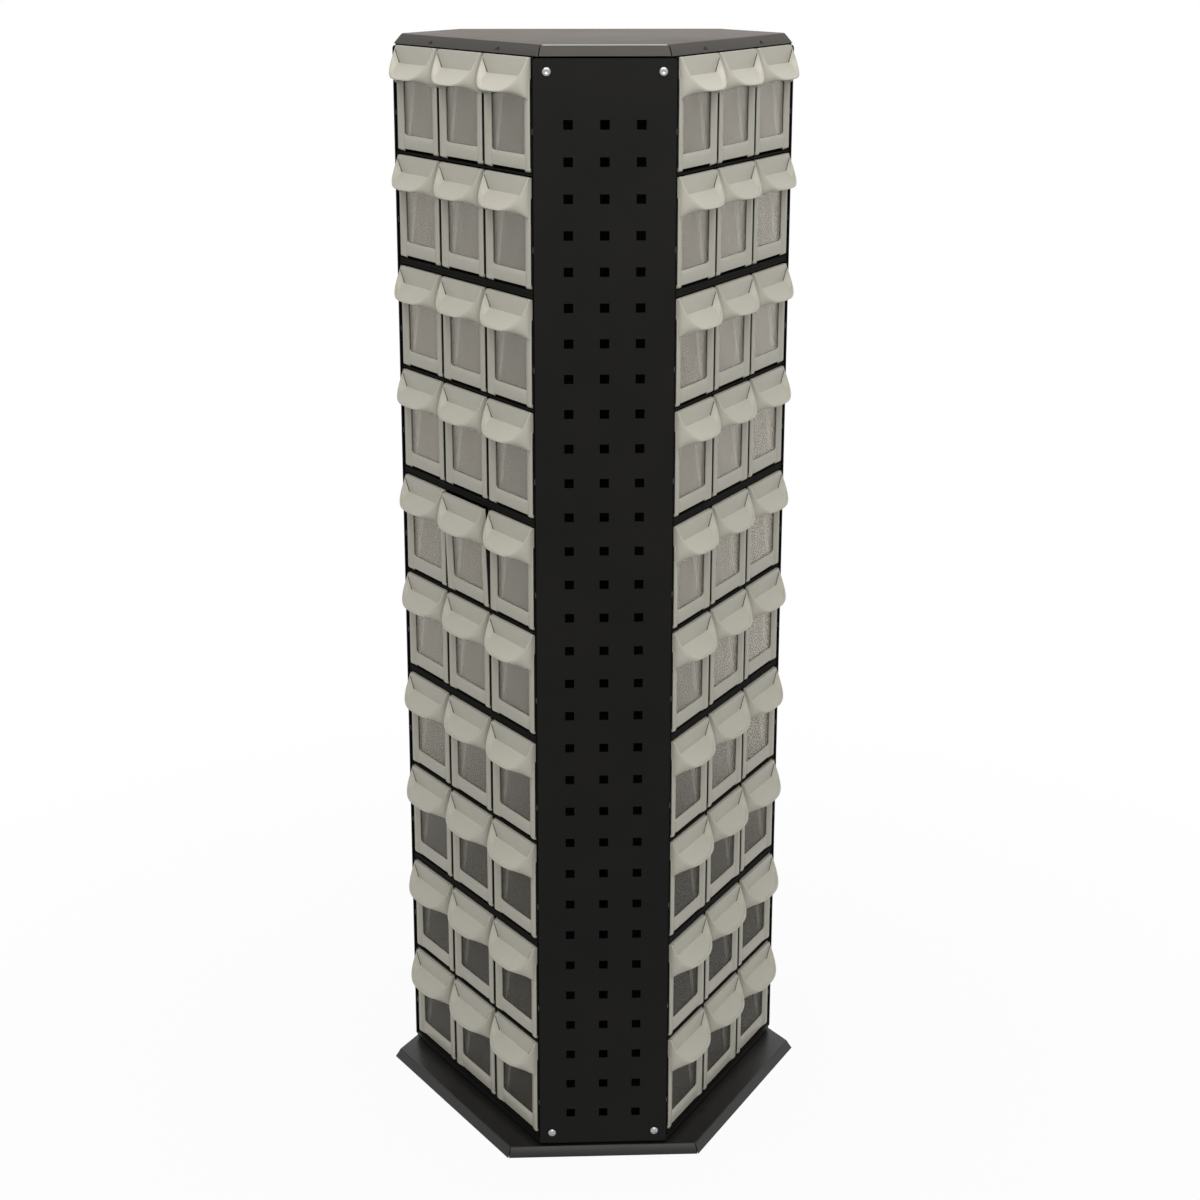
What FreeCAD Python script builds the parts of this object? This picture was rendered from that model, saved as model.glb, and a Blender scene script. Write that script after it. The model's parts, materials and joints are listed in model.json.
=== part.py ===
import FreeCAD, Part
import math
import os
import re
import Sketcher

# Free-standing three-sided storage tower. In plan it is a triangle with cut corners: three wide
# faces hold stacked housings of tilt bins, and the three narrow faces are pegboard panels.
# Origin at the middle of the base on the floor, +Z up, one pegboard facing -Y. Millimetres.
# Every piece of a face is drawn as it would stand at the -Y side and then turned about Z.

doc = FreeCAD.newDocument("storage_tower")

SIZES = {
    # plan of the tower: widths of the narrow and wide faces
    "panel_width": 148.0,
    "face_width": 310.0,
    # folded steel of base, floor and cap
    "steel_gauge": 1.5,
    "slit_width": 1.2,
    "base_height": 11.0,
    "base_bevel": 6.0,
    "base_hem": 16.0,
    "base_reach_narrow": 1.8,
    "base_reach_wide": 31.0,
    "skirt_gap": 2.0,
    "skirt_clearance": 0.3,
    "cap_headroom": 5.4,
    "cap_drop": 11.2,
    "cap_bevel": 8.1,
    "cap_inset_narrow": 7.8,
    "cap_inset_wide": 10.9,
    # turntable
    "race_height": 2.2,
    "race_gap": 2.3,
    "race_radius": 80.0,
    "race_band": 40.0,
    "ball_diameter": 4.5,
    "ball_clearance": 0.35,
    # pegboard panels and their screws
    "panel_gauge": 1.5,
    "panel_corner": 4.0,
    "panel_gap": 4.0,
    "panel_cap_gap": 2.0,
    "hole_size": 10.0,
    "hole_pitch": 38.0,
    "hole_margin": 38.6,
    "screw_spread": 120.0,
    "screw_margin": 13.2,
    "screw_shank": 5.0,
    "screw_length": 8.0,
    "screw_head": 9.6,
    "screw_head_height": 2.8,
    "screw_edge": 1.2,
    "screw_socket": 3.2,
    "screw_socket_depth": 1.6,
    "screw_clearance": 0.1,
    # corner uprights
    "upright_gauge": 1.2,
    "upright_clearance": 0.5,
    "upright_flange": 22.0,
    "upright_setback": 6.0,
    "panel_overhang": 4.0,
    "tongue_setback": 14.0,
    # bin housings
    "housing_width": 301.0,
    "housing_depth": 85.0,
    "housing_setback": 1.0,
    "housing_floor": 3.5,
    "housing_shelf": 2.0,
    "housing_roof": 4.0,
    "housing_back": 2.0,
    "roof_relief": 9.0,
    "bay_width": 98.0,
    "bay_height": 120.0,
    "bin_pitch": 100.0,
    # clips beside the housings
    "clip_width": 2.4,
    "clip_depth": 3.5,
    "clip_height": 6.0,
    "clip_rise": 40.0,
    # bin fronts
    "bin_width": 94.0,
    "bin_height": 118.0,
    "bin_lift": 0.5,
    "front_thickness": 3.0,
    "rail_width": 12.5,
    "foot_corner": 4.0,
    "foot_rise": 3.0,
    "foot_chamfer": 2.5,
    "foot_tip": 0.55,
    "window_sill": 18.5,
    "window_top": 75.0,
    "window_arch": 4.0,
    "sill_recess": 1.0,
    "sill_bevel": 1.5,
    "ear_depth": 9.5,
    "ear_height": 12.0,
    # scoop of the bin front
    "scoop_width": 90.0,
    "scoop_reach": 19.5,
    "scoop_corner": 14.0,
    "scoop_wall": 2.0,
    "scoop_back": 2.0,
    "scoop_lip": 82.0,
    "scoop_lip_edge": 2.0,
    "scoop_under": 76.0,
    "scoop_floor": 98.0,
    # hinge rods
    "pivot_depth": 5.5,
    "pivot_rise": 4.5,
    "rod_diameter": 3.0,
    "rod_clearance": 0.1,
    "bore_clearance": 0.4,
    # bin tubs
    "tub_width": 88.0,
    "tub_depth": 79.0,
    "tub_wall": 1.6,
    "tub_front_rise": 7.5,
    "tub_rest": 0.3,
    "tub_front_top": 108.0,
    "tub_shoulder": 104.0,
    "tub_shoulder_depth": 30.0,
    "tub_haunch": 92.0,
    "tub_haunch_depth": 60.0,
    "tub_back_top": 76.0,
    "stop_width": 24.0,
    "stop_reach": 115.8,
}
COUNTS = {"modules": 5, "hole_rows": 31, "hole_columns": 3, "balls": 30}
LOOSE_MODULES = 1

sheet = doc.addObject("Spreadsheet::Sheet", "Sizes")
for row, (alias, value) in enumerate(SIZES.items(), start=1):
    sheet.set(f"A{row}", alias)
    sheet.set(f"B{row}", str(value))
    sheet.setAlias(f"B{row}", alias)
doc.recompute()


def cells(text):
    """Expression over the sheet, with each alias written as a plain word."""
    return re.sub("[a-z_]+", lambda word: "Sizes." + word[0] if word[0] in SIZES else word[0], text)


def size(text):
    """Value of an expression over the sheet."""
    return float(sheet.evalExpression(cells(text)))


def bind(obj, **expressions):
    for path, text in expressions.items():
        obj.setExpression(path.replace("__", "."), cells(text))
    return obj


def place(obj, x="0", y="0", z="0"):
    return bind(obj, Placement__Base__x=x, Placement__Base__y=y, Placement__Base__z=z)


def turned(angle, axis=FreeCAD.Vector(0, 0, 1)):
    return FreeCAD.Placement(FreeCAD.Vector(), FreeCAD.Rotation(axis, angle))


# Distances and heights that several pieces share, as expressions over the sheet.
PANEL_PLANE = "( ( panel_width + 2 * face_width ) / ( 2 * sqrt(3) ) )"
FACE_PLANE = "( ( 2 * panel_width + face_width ) / ( 2 * sqrt(3) ) )"
FLOOR_UNDER = "( base_height + 2 * race_height + race_gap )"
FLOOR_TOP = f"( {FLOOR_UNDER} + steel_gauge )"
ROW_PITCH = "( bay_height + housing_shelf )"
HOUSING_HEIGHT = "( housing_floor + 2 * bay_height + housing_shelf + housing_roof )"
STACK_TOP = f"( {FLOOR_TOP} + {COUNTS['modules']} * {HOUSING_HEIGHT} )"
CAP_UNDER = f"( {STACK_TOP} + cap_headroom )"
CAP_TOP = f"( {CAP_UNDER} + steel_gauge )"
PANEL_BOTTOM = "( base_height + panel_gap )"
PANEL_TOP = f"( {CAP_TOP} - cap_drop - panel_cap_gap )"
PANEL_BACK = f"( panel_gauge - {PANEL_PLANE} )"
BALL_HEIGHT = "( base_height + race_height + race_gap / 2 )"

PANEL_TURNS = {"front": 0, "right": 120, "left": 240}
FACE_TURNS = {"left": -60, "right": 60, "rear": 180}


# Sketches and simple solids

PLANES = {
    "XY": FreeCAD.Rotation(),
    "XZ": FreeCAD.Rotation(FreeCAD.Vector(1, 0, 0), 90),
    "YZ": FreeCAD.Rotation(FreeCAD.Vector(1, 1, 1), 120),
}
ORIGIN, X_AXIS, Y_AXIS = -1, -1, -2


def fix_point(sketch, geometry, corner, x, y):
    """Ties one end of a line to its place from the sketch's origin."""
    for text, kind, axis in ((x, "DistanceX", Y_AXIS), (y, "DistanceY", X_AXIS)):
        value = size(text)
        if text == "0":
            sketch.addConstraint(Sketcher.Constraint("PointOnObject", geometry, corner, axis))
            continue
        index = sketch.addConstraint(Sketcher.Constraint(kind, ORIGIN, 1, geometry, corner, value))
        sketch.setExpression(f"Constraints[{index}]", cells(text))


def outline(sketch, points):
    """Closed outline of straight lines through points given as expressions."""
    spots = [FreeCAD.Vector(size(x), size(y), 0) for x, y in points]
    lines = [Part.LineSegment(a, b) for a, b in zip(spots, spots[1:] + spots[:1])]
    first = sketch.addGeometry(lines)[0]
    count = len(points)
    for i in range(count):
        following = first + (i + 1) % count
        sketch.addConstraint(Sketcher.Constraint("Coincident", first + i, 2, following, 1))
    for i, (x, y) in enumerate(points):
        fix_point(sketch, first + i, 1, x, y)
    return sketch


def mirrored(points):
    """Outline made of the given right half and its mirror image."""
    return points + [(f"-( {x} )", y) for x, y in reversed(points) if x != "0"]


def rectangle(x_low, x_high, y_low, y_high):
    return [(x_low, y_low), (x_high, y_low), (x_high, y_high), (x_low, y_high)]


def drawn(name, plane, points):
    sketch = doc.addObject("Sketcher::SketchObject", name + "_outline")
    sketch.Placement = FreeCAD.Placement(FreeCAD.Vector(), PLANES[plane])
    return outline(sketch, points)


def extruded(name, plane, points, length, symmetric=False):
    """Prism of an outline: up from XY, towards -Y from XZ, both ways along X from YZ."""
    solid = doc.addObject("Part::Extrusion", name)
    solid.Base = drawn(name, plane, points)
    solid.DirMode = "Normal"
    solid.Solid = True
    solid.Symmetric = symmetric
    return bind(solid, LengthFwd=length)


def cylinder(name, radius, height):
    return bind(doc.addObject("Part::Cylinder", name), Radius=radius, Height=height)


def box(name, length, width, height):
    return bind(doc.addObject("Part::Box", name), Length=length, Width=width, Height=height)


def slab(name, x, y, z):
    """Box between pairs of limits."""
    lengths = [f"( {high} ) - ( {low} )" for low, high in (x, y, z)]
    return place(box(name, *lengths), x[0], y[0], z[0])


def mirror(name, source):
    """Copy of a solid on the other side of the YZ plane."""
    result = doc.addObject("Part::Mirroring", name)
    result.Source = source
    result.Base = FreeCAD.Vector()
    result.Normal = FreeCAD.Vector(1, 0, 0)
    return result


def cut(name, base, tool):
    result = doc.addObject("Part::Cut", name)
    result.Base, result.Tool = base, tool
    return result


def common(name, first, second):
    result = doc.addObject("Part::Common", name)
    result.Base, result.Tool = first, second
    return result


def fused(name, pieces):
    result = doc.addObject("Part::MultiFuse", name)
    result.Shapes = pieces
    result.Refine = True
    return result


def group(name, pieces, angle=0):
    """Set of solids that stay separate, turned about the tower's axis."""
    result = doc.addObject("Part::Compound", name)
    result.Links = pieces
    result.Placement = turned(angle)
    return result


def rounded(name, base, radius, wanted):
    """Fillet of the base's edges that the test picks by their direction and middle."""
    doc.recompute()
    edges = []
    for index, edge in enumerate(base.Shape.Edges, start=1):
        if edge.Curve.TypeId == "Part::GeomLine" and wanted(edge):
            edges.append((index, size(radius), size(radius)))
    result = doc.addObject("Part::Fillet", name)
    result.Base = base
    result.Edges = edges
    return result


def runs_along(edge, axis):
    direction = edge.tangentAt(edge.FirstParameter)
    return abs(abs(direction.dot(axis)) - 1) < 1e-6


# Six-sided folded trays

def hexagon(narrow, wide):
    """Corners of the plan from the distances of its narrow and wide sides to the axis."""
    half = f"( ( 2 * {wide} - {narrow} ) / sqrt(3) )"
    across = f"( {narrow} * sqrt(3) / 2 )"
    rise = f"( {half} * sqrt(3) / 2 )"
    right = [
        (half, f"- {narrow}"),
        (f"{half} / 2 + {across}", f"{narrow} / 2 - {rise}"),
        (f"{across} - {half} / 2", f"{narrow} / 2 + {rise}"),
    ]
    return mirrored(right)


def tapered(name, low, high, low_z, high_z):
    """Solid between two six-sided sections, each a pair of distances from the axis."""
    sections = []
    for tag, plan, height in (("low", low, low_z), ("high", high, high_z)):
        section = drawn(f"{name}_{tag}", "XY", hexagon(*plan))
        sections.append(place(section, z=height))
    solid = doc.addObject("Part::Loft", name)
    solid.Sections = sections
    solid.Solid = True
    solid.Ruled = True
    return solid


def folded_tray(name, narrow, wide, bevel, drop, top, hem="0"):
    """Plate with flanges that slope out and down from its six sides, open at the corners.

    A hem turns the lower edge of each flange inward; without one the flange ends bare.
    """
    slant = f"( steel_gauge * sqrt( {bevel} ^ 2 + {drop} ^ 2 ) / {drop} )"
    bottom = f"( {top} - {drop} )"
    fold = "steel_gauge" if size(hem) else "0"

    def inset(height):
        """Inner surface of the flanges, that far above their lower edge."""
        shift = f"( {bevel} - {bevel} * {height} / {drop} - {slant} )"
        return f"( {narrow} + {shift} )", f"( {wide} + {shift} )"

    outside = tapered(
        name + "_outside",
        (f"( {narrow} + {bevel} )", f"( {wide} + {bevel} )"), (narrow, wide), bottom, top)
    hollow = [tapered(
        name + "_inside", inset(fold), inset(f"( {drop} - steel_gauge )"),
        f"( {bottom} + {fold} )", f"( {top} - steel_gauge )")]
    if size(hem):
        window = hexagon(f"( {narrow} + {bevel} - {hem} )", f"( {wide} + {bevel} - {hem} )")
        hollow.append(place(extruded(name + "_window", "XY", window, f"{drop} / 2"), z=bottom))
    slits = []
    for index, (x, y) in enumerate(hexagon(narrow, wide)):
        corner = FreeCAD.Vector(size(x), size(y), 0)
        slit = box(f"{name}_slit_{index}", f"3 * {bevel}", "slit_width", f"{drop} + 2 * steel_gauge")
        heading = math.degrees(math.atan2(corner.y, corner.x))
        start = FreeCAD.Vector(corner.Length, -size("slit_width") / 2, size(f"{bottom} - steel_gauge"))
        slit.Placement = turned(heading).multiply(FreeCAD.Placement(start, FreeCAD.Rotation()))
        slits.append(slit)
    shell = cut(name + "_shell", outside, fused(name + "_hollow", hollow) if size(hem) else hollow[0])
    return cut(name, shell, group(name + "_slits", slits))


def base_tray():
    return folded_tray(
        "base_tray", f"( {PANEL_PLANE} + base_reach_narrow )", f"( {FACE_PLANE} + base_reach_wide )",
        "base_bevel", "base_height", "base_height", "base_hem")


def top_cap():
    return folded_tray(
        "top_cap", f"( {PANEL_PLANE} - cap_inset_narrow )", f"( {FACE_PLANE} - cap_inset_wide )",
        "cap_bevel", "cap_drop", CAP_TOP)


def tower_floor():
    """Straight-sided tray, open below, that the uprights and housings stand on."""
    narrow = f"( {PANEL_PLANE} - panel_gauge - skirt_clearance )"
    wide = f"( {FACE_PLANE} - housing_setback )"
    bottom = "( base_height + skirt_gap )"
    outside = extruded("tower_floor_outside", "XY", hexagon(narrow, wide), f"{FLOOR_TOP} - {bottom}")
    hollow = hexagon(f"( {narrow} - steel_gauge )", f"( {wide} - steel_gauge )")
    inside = extruded("tower_floor_inside", "XY", hollow, f"{FLOOR_UNDER} - {bottom}")
    for solid in (outside, inside):
        place(solid, z=bottom)
    return cut("tower_floor", outside, inside)


# Turntable

def race(name, z):
    """Flat ring with a round track for the balls in the face towards them."""
    disc = cylinder(name + "_disc", "race_radius + race_band / 2", "race_height")
    hole = cylinder(name + "_hole", "race_radius - race_band / 2", "race_height")
    track = doc.addObject("Part::Torus", name + "_track")
    bind(track, Radius1="race_radius", Radius2="ball_diameter / 2 + ball_clearance")
    for solid, height in ((disc, z), (hole, z), (track, BALL_HEIGHT)):
        place(solid, z=height)
    return cut(name, cut(name + "_ring", disc, hole), track)


def turntable_balls():
    balls = []
    for index in range(COUNTS["balls"]):
        turn = math.radians(360 * index / COUNTS["balls"])
        ball = bind(doc.addObject("Part::Sphere", f"ball_{index}"), Radius="ball_diameter / 2")
        place(ball, f"race_radius * {math.cos(turn):.9f}", f"race_radius * {math.sin(turn):.9f}", BALL_HEIGHT)
        balls.append(ball)
    return group("turntable_balls", balls)


# Pegboard panels

def feature(body, kind, name, sketch, **expressions):
    made = body.newObject("PartDesign::" + kind, name)
    made.Profile = sketch
    bind(made, **expressions)
    body.Tip = made
    return made


def body_sketch(body, name, plane, points):
    """Sketch on one of the body's own origin planes."""
    sketch = body.newObject("Sketcher::SketchObject", name)
    support = [item for item in body.Origin.OriginFeatures if item.Role == plane + "_Plane"][0]
    sketch.AttachmentSupport = (support, [""])
    sketch.MapMode = "FlatFace"
    return outline(sketch, points)


def origin_axis(body, role):
    return [item for item in body.Origin.OriginFeatures if item.Role == role + "_Axis"][0]


def circle(sketch, x, y, diameter):
    """Circle whose centre and size follow expressions."""
    spot = FreeCAD.Vector(size(x), size(y), 0)
    index = sketch.addGeometry(Part.Circle(spot, FreeCAD.Vector(0, 0, 1), size(diameter) / 2))
    fix_point(sketch, index, 3, x, y)
    rule = sketch.addConstraint(Sketcher.Constraint("Diameter", index, size(diameter)))
    sketch.setExpression(f"Constraints[{rule}]", cells(diameter))
    return sketch


def pegboard():
    """Plate with rounded corners and its holes, standing on z = 0 with its back at y = 0."""
    body = doc.addObject("PartDesign::Body", "pegboard_plate")
    height = f"( {PANEL_TOP} - {PANEL_BOTTOM} )"
    edge_points = rectangle("- panel_width / 2", "panel_width / 2", "0", height)
    plate = body_sketch(body, "plate_outline", "XZ", edge_points)
    pad = feature(body, "Pad", "plate", plate, Length="panel_gauge")
    doc.recompute()
    along = [f"Edge{i}" for i, edge in enumerate(pad.Shape.Edges, start=1)
             if runs_along(edge, FreeCAD.Vector(0, 1, 0))]
    corners = body.newObject("PartDesign::Fillet", "plate_corners")
    corners.Base = (pad, along)
    bind(corners, Radius="panel_corner")
    body.Tip = corners

    first = f"( - ( {COUNTS['hole_columns']} - 1 ) / 2 * hole_pitch )"
    hole = body_sketch(body, "peg_hole_outline", "XZ", rectangle(
        f"{first} - hole_size / 2", f"{first} + hole_size / 2",
        "hole_margin - hole_size / 2", "hole_margin + hole_size / 2"))
    through = feature(body, "Pocket", "peg_hole", hole)
    through.Type = "ThroughAll"
    through.Midplane = True
    doc.recompute()
    peg_rows = body.newObject("PartDesign::MultiTransform", "peg_holes")
    peg_rows.Originals = [through]
    steps = []
    for tag, axis, count in (("across", "X", COUNTS["hole_columns"]), ("up", "Z", COUNTS["hole_rows"])):
        step = body.newObject("PartDesign::LinearPattern", "peg_" + tag)
        step.Direction = (origin_axis(body, axis), [""])
        step.Mode = "Spacing"
        step.Occurrences = count
        bind(step, Offset="hole_pitch")
        steps.append(step)
    peg_rows.Transformations = steps
    body.Tip = peg_rows
    doc.recompute()

    screws = body.newObject("Sketcher::SketchObject", "screw_hole_outline")
    screws.AttachmentSupport = plate.AttachmentSupport
    screws.MapMode = "FlatFace"
    for x, z in screw_spots(height):
        circle(screws, x, z, "screw_shank + 2 * screw_clearance")
    drilled = feature(body, "Pocket", "screw_holes", screws)
    drilled.Type = "ThroughAll"
    drilled.Midplane = True
    return body


def screw_spots(height):
    """Places of a panel's screws: across the panel, and up from its lower edge."""
    sides = ("- screw_spread / 2", "screw_spread / 2")
    return [(x, z) for z in ("screw_margin", f"{height} - screw_margin") for x in sides]


def panel_screw():
    """Button-head screw with a hexagon socket, head towards -Y, seat at y = 0."""
    head = cylinder("screw_head_blank", "screw_head / 2", "screw_head_height")
    dome = doc.addObject("Part::Fillet", "screw_head_dome")
    doc.recompute()
    top = max(range(len(head.Shape.Edges)), key=lambda i: head.Shape.Edges[i].CenterOfMass.z)
    dome.Base = head
    dome.Edges = [(top + 1, size("screw_edge"), size("screw_edge"))]
    shank = cylinder("screw_shank_blank", "screw_shank / 2", "screw_length")
    place(shank, z="- screw_length")
    socket = doc.addObject("Part::Prism", "screw_socket_blank")
    socket.Polygon = 6
    bind(socket, Circumradius="screw_socket / sqrt(3)", Height="screw_socket_depth")
    place(socket, z="screw_head_height - screw_socket_depth")
    screw = cut("panel_screw", fused("screw_blank", [dome, shank]), socket)
    screw.Placement = turned(90, FreeCAD.Vector(1, 0, 0))
    return screw


def panel_screws():
    master = panel_screw()
    height = f"( {PANEL_TOP} - {PANEL_BOTTOM} )"
    screws = []
    for index, (x, z) in enumerate(screw_spots(height)):
        screws.append(place(group(f"screw_{index}", [master]), x, f"- {PANEL_PLANE}", f"{PANEL_BOTTOM} + {z}"))
    panels = [group(f"screws_{side}", screws, angle) for side, angle in PANEL_TURNS.items()]
    return group("panel_screws", panels)


# Corner uprights

def corner_upright():
    """Folded channel between two stacks of housings, with flanges that the panel is screwed to."""
    web_gap = "( ( face_width - housing_width ) / 2 - upright_clearance )"

    def web(along, inward):
        """Point of the left web: along the wide face from its housing, and inward from the face."""
        x = f"( - panel_width / 2 - {web_gap} / 2 + {inward} * sqrt(3) / 2 + {along} / 2 )"
        y = f"( {web_gap} * sqrt(3) / 2 + {inward} / 2 - {along} * sqrt(3) / 2 - {PANEL_PLANE} )"
        return x, y

    def ridge(along):
        inward = f"( ( panel_width + {web_gap} - {along} ) / sqrt(3) )"
        return "0", web(along, inward)[1]

    edge = "( panel_overhang - panel_width / 2 )"
    slot = f"( {edge} + upright_flange )"
    left_half = [
        ridge("0"),
        web("0", "upright_setback"),
        (edge, PANEL_BACK),
        (slot, PANEL_BACK),
        (slot, f"{PANEL_BACK} + upright_gauge"),
        (f"{edge} + upright_gauge", f"{PANEL_BACK} + upright_gauge"),
        web("upright_gauge", "( upright_setback + upright_gauge * sqrt(3) )"),
        ridge("upright_gauge"),
    ]
    channel = extruded("upright_channel", "XY", mirrored_across(left_half), f"{CAP_UNDER} - {FLOOR_TOP}")
    place(channel, z=FLOOR_TOP)
    notch = box("upright_notch", "panel_width", "tongue_setback", f"{CAP_UNDER} - {PANEL_TOP}")
    place(notch, "- panel_width / 2", f"- {PANEL_PLANE}", PANEL_TOP)
    holes = []
    height = f"( {PANEL_TOP} - {PANEL_BOTTOM} )"
    for index, (x, z) in enumerate(screw_spots(height)):
        hole = cylinder(f"upright_hole_{index}", "screw_shank / 2 + screw_clearance", "2 * upright_gauge")
        hole.Placement = turned(90, FreeCAD.Vector(1, 0, 0))
        place(hole, x, f"{PANEL_BACK} + 1.5 * upright_gauge", f"{PANEL_BOTTOM} + {z}")
        holes.append(hole)
    return cut("upright", channel, group("upright_cuts", [notch] + holes))


def mirrored_across(half):
    """Loop from a left half whose first and last points lie on the mirror line."""
    return half + [(f"- ( {x} )", y) for x, y in reversed(half[1:-1])]


# Bin housings

def foot_height(row):
    """Height of a row's bin feet above the housing's lower edge; row 0 is the lower one."""
    return f"( housing_floor + bin_lift + {row} * {ROW_PITCH} )"


def rod_hole(name, row):
    """Cutter for one row's rod hole, right across the housing."""
    hole = cylinder(name, "rod_diameter / 2 + rod_clearance", "housing_width")
    hole.Placement = turned(90, FreeCAD.Vector(0, 1, 0))
    return place(hole, "- housing_width / 2", "pivot_depth", f"{foot_height(row)} + pivot_rise")


def housing_walls():
    """Walls of a housing but its roof, its lower edge at z = 0 and the bin plane at y = 0."""
    side, bay_side = "housing_width / 2", "( bin_pitch + bay_width / 2 )"
    front, back = "housing_setback", "( housing_setback + housing_depth )"
    depth = (front, f"{back} - housing_back")
    height = ("housing_floor", f"{HOUSING_HEIGHT} - housing_roof")
    shelf = ("housing_floor + bay_height", f"housing_floor + {ROW_PITCH}")
    holes = group("rod_holes", [rod_hole(f"rod_hole_{row}", row) for row in range(2)])
    walls = [
        slab("housing_bottom", (f"- {side}", side), (front, back), ("0", "housing_floor")),
        slab("housing_rear", (f"- {side}", side), (f"{back} - housing_back", back), height),
        slab("housing_middle", (f"- {bay_side}", bay_side), depth, shelf),
    ]
    for row in range(2):
        bay = (f"housing_floor + {row} * {ROW_PITCH}", f"housing_floor + bay_height + {row} * {ROW_PITCH}")
        blank = slab(f"divider_blank_{row}", ("bay_width / 2", "bin_pitch - bay_width / 2"), depth, bay)
        divider = cut(f"divider_right_{row}", blank, holes)
        walls += [divider, mirror(f"divider_left_{row}", divider)]
    end = cut("housing_side_right", slab("housing_side_blank", (bay_side, side), depth, height), holes)
    return walls + [end, mirror("housing_side_left", end)]


def housing_stack():
    """Housings one above another in front of the axis; the top one's roof is cut back under the cap."""
    modules = COUNTS["modules"]
    walls = housing_walls()
    across = ("- housing_width / 2", "housing_width / 2")
    back = "housing_setback + housing_depth"
    roof = (f"{HOUSING_HEIGHT} - housing_roof", HOUSING_HEIGHT)
    full = slab("housing_top", across, ("housing_setback", back), roof)
    short = slab("housing_top_short", across, ("roof_relief", back), roof)
    levels = []
    for module in range(modules):
        level = group(f"housing_level_{module + 1}", walls + [short if module == modules - 1 else full])
        levels.append(place(level, "0", f"- {FACE_PLANE}", f"{FLOOR_TOP} + {module} * {HOUSING_HEIGHT}"))
    return levels


def row_base(module, row):
    return f"( {FLOOR_TOP} + {module} * {HOUSING_HEIGHT} + {foot_height(row)} )"


def hinge_rods():
    rods = []
    for module in range(COUNTS["modules"]):
        for row in range(2):
            rod = cylinder(f"rod_{module}_{row}", "rod_diameter / 2", "housing_width")
            rod.Placement = turned(90, FreeCAD.Vector(0, 1, 0))
            place(rod, "- housing_width / 2", f"pivot_depth - {FACE_PLANE}",
                  f"{row_base(module, row)} + pivot_rise")
            rods.append(rod)
    faces = [group(f"rods_{side}", rods, angle) for side, angle in FACE_TURNS.items()]
    return group("bin_hinge_rods", faces)


def housing_clips():
    """Small blocks on the outer sides of the housings, one for each row and side."""
    clips = []
    for module in range(COUNTS["modules"]):
        for row in range(2):
            for tag, x in (("a", "- housing_width / 2 - clip_width"), ("b", "housing_width / 2")):
                clip = box(f"clip_{module}_{row}_{tag}", "clip_width", "clip_depth", "clip_height")
                place(clip, x, f"housing_setback - {FACE_PLANE}", f"{row_base(module, row)} + clip_rise")
                clips.append(clip)
    faces = [group(f"clips_{side}", clips, angle) for side, angle in FACE_TURNS.items()]
    return group("housing_clips", faces)


# Tilt bins: front face of the rails at y = 0, feet at z = 0, middle at x = 0

WINDOW_SIDE = "( bin_width / 2 - rail_width )"


def front_rails():
    """Upright rails beside the window, each with a rounded and chamfered foot."""
    edge_points = rectangle(WINDOW_SIDE, "bin_width / 2", "0", "bin_height")
    plate = extruded("rail_plate", "XZ", edge_points, "front_thickness")
    place(plate, y="front_thickness")
    corner = rounded("rail_corner", plate, "foot_corner", lambda edge: (
        runs_along(edge, FreeCAD.Vector(0, 1, 0))
        and edge.CenterOfMass.z < size("foot_corner")
        and edge.CenterOfMass.x > size("bin_width / 2 - foot_corner")))
    chamfer = extruded("foot_chamfer_cut", "YZ", [
        ("- foot_chamfer", "- foot_chamfer"), ("front_thickness", "- foot_chamfer"),
        ("front_thickness", "foot_tip"), ("0", "foot_chamfer"), ("- foot_chamfer", "foot_chamfer")],
        "2 * bin_width", symmetric=True)
    rail = cut("rail_right", corner, chamfer)
    return [rail, mirror("rail_left", rail)]


def front_bars():
    """Sill below the window and fascia with an arched edge above it."""
    sill = extruded("front_sill", "YZ", [
        ("sill_recess", "foot_rise"), ("front_thickness", "foot_rise"), ("front_thickness", "window_sill"),
        ("sill_recess + sill_bevel", "window_sill"), ("sill_recess", "window_sill - sill_bevel")],
        f"2 * {WINDOW_SIDE}", symmetric=True)
    plate = extruded("fascia_plate", "XZ", mirrored([
        (WINDOW_SIDE, "window_top"), (WINDOW_SIDE, "bin_height")]), "front_thickness")
    place(plate, y="front_thickness")
    radius = f"( ( {WINDOW_SIDE} ^ 2 + window_arch ^ 2 ) / ( 2 * window_arch ) )"
    arch = cylinder("fascia_arch", radius, "3 * front_thickness")
    arch.Placement = turned(90, FreeCAD.Vector(1, 0, 0))
    place(arch, y="2 * front_thickness", z=f"window_top + window_arch - {radius}")
    return [sill, cut("front_fascia", plate, arch)]


def scoop_plan(name, side, reach, corner):
    """Upright prism with the scoop's plan: straight sides and two round outer corners."""
    blank = extruded(name + "_blank", "XY", rectangle(f"- {side}", side, f"- {reach}", "0"), "bin_height")
    return rounded(name, blank, corner, lambda edge: (
        runs_along(edge, FreeCAD.Vector(0, 0, 1)) and edge.CenterOfMass.y < -size(f"{reach} / 2")))


SCOOP_SIDE = "( scoop_width / 2 )"
SCOOP_INNER = "( scoop_width / 2 - scoop_wall )"


def label_panel():
    """Flat panel on the fascia, at the back of the finger pull."""
    fall = "( scoop_back * ( scoop_floor - scoop_lip ) / scoop_reach )"
    return extruded("label_panel", "YZ", [
        ("0", "scoop_floor"), ("- scoop_back", f"scoop_floor - {fall}"), ("- scoop_back", "bin_height"),
        ("0", "bin_height")], f"2 * {SCOOP_INNER}", symmetric=True)


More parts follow.
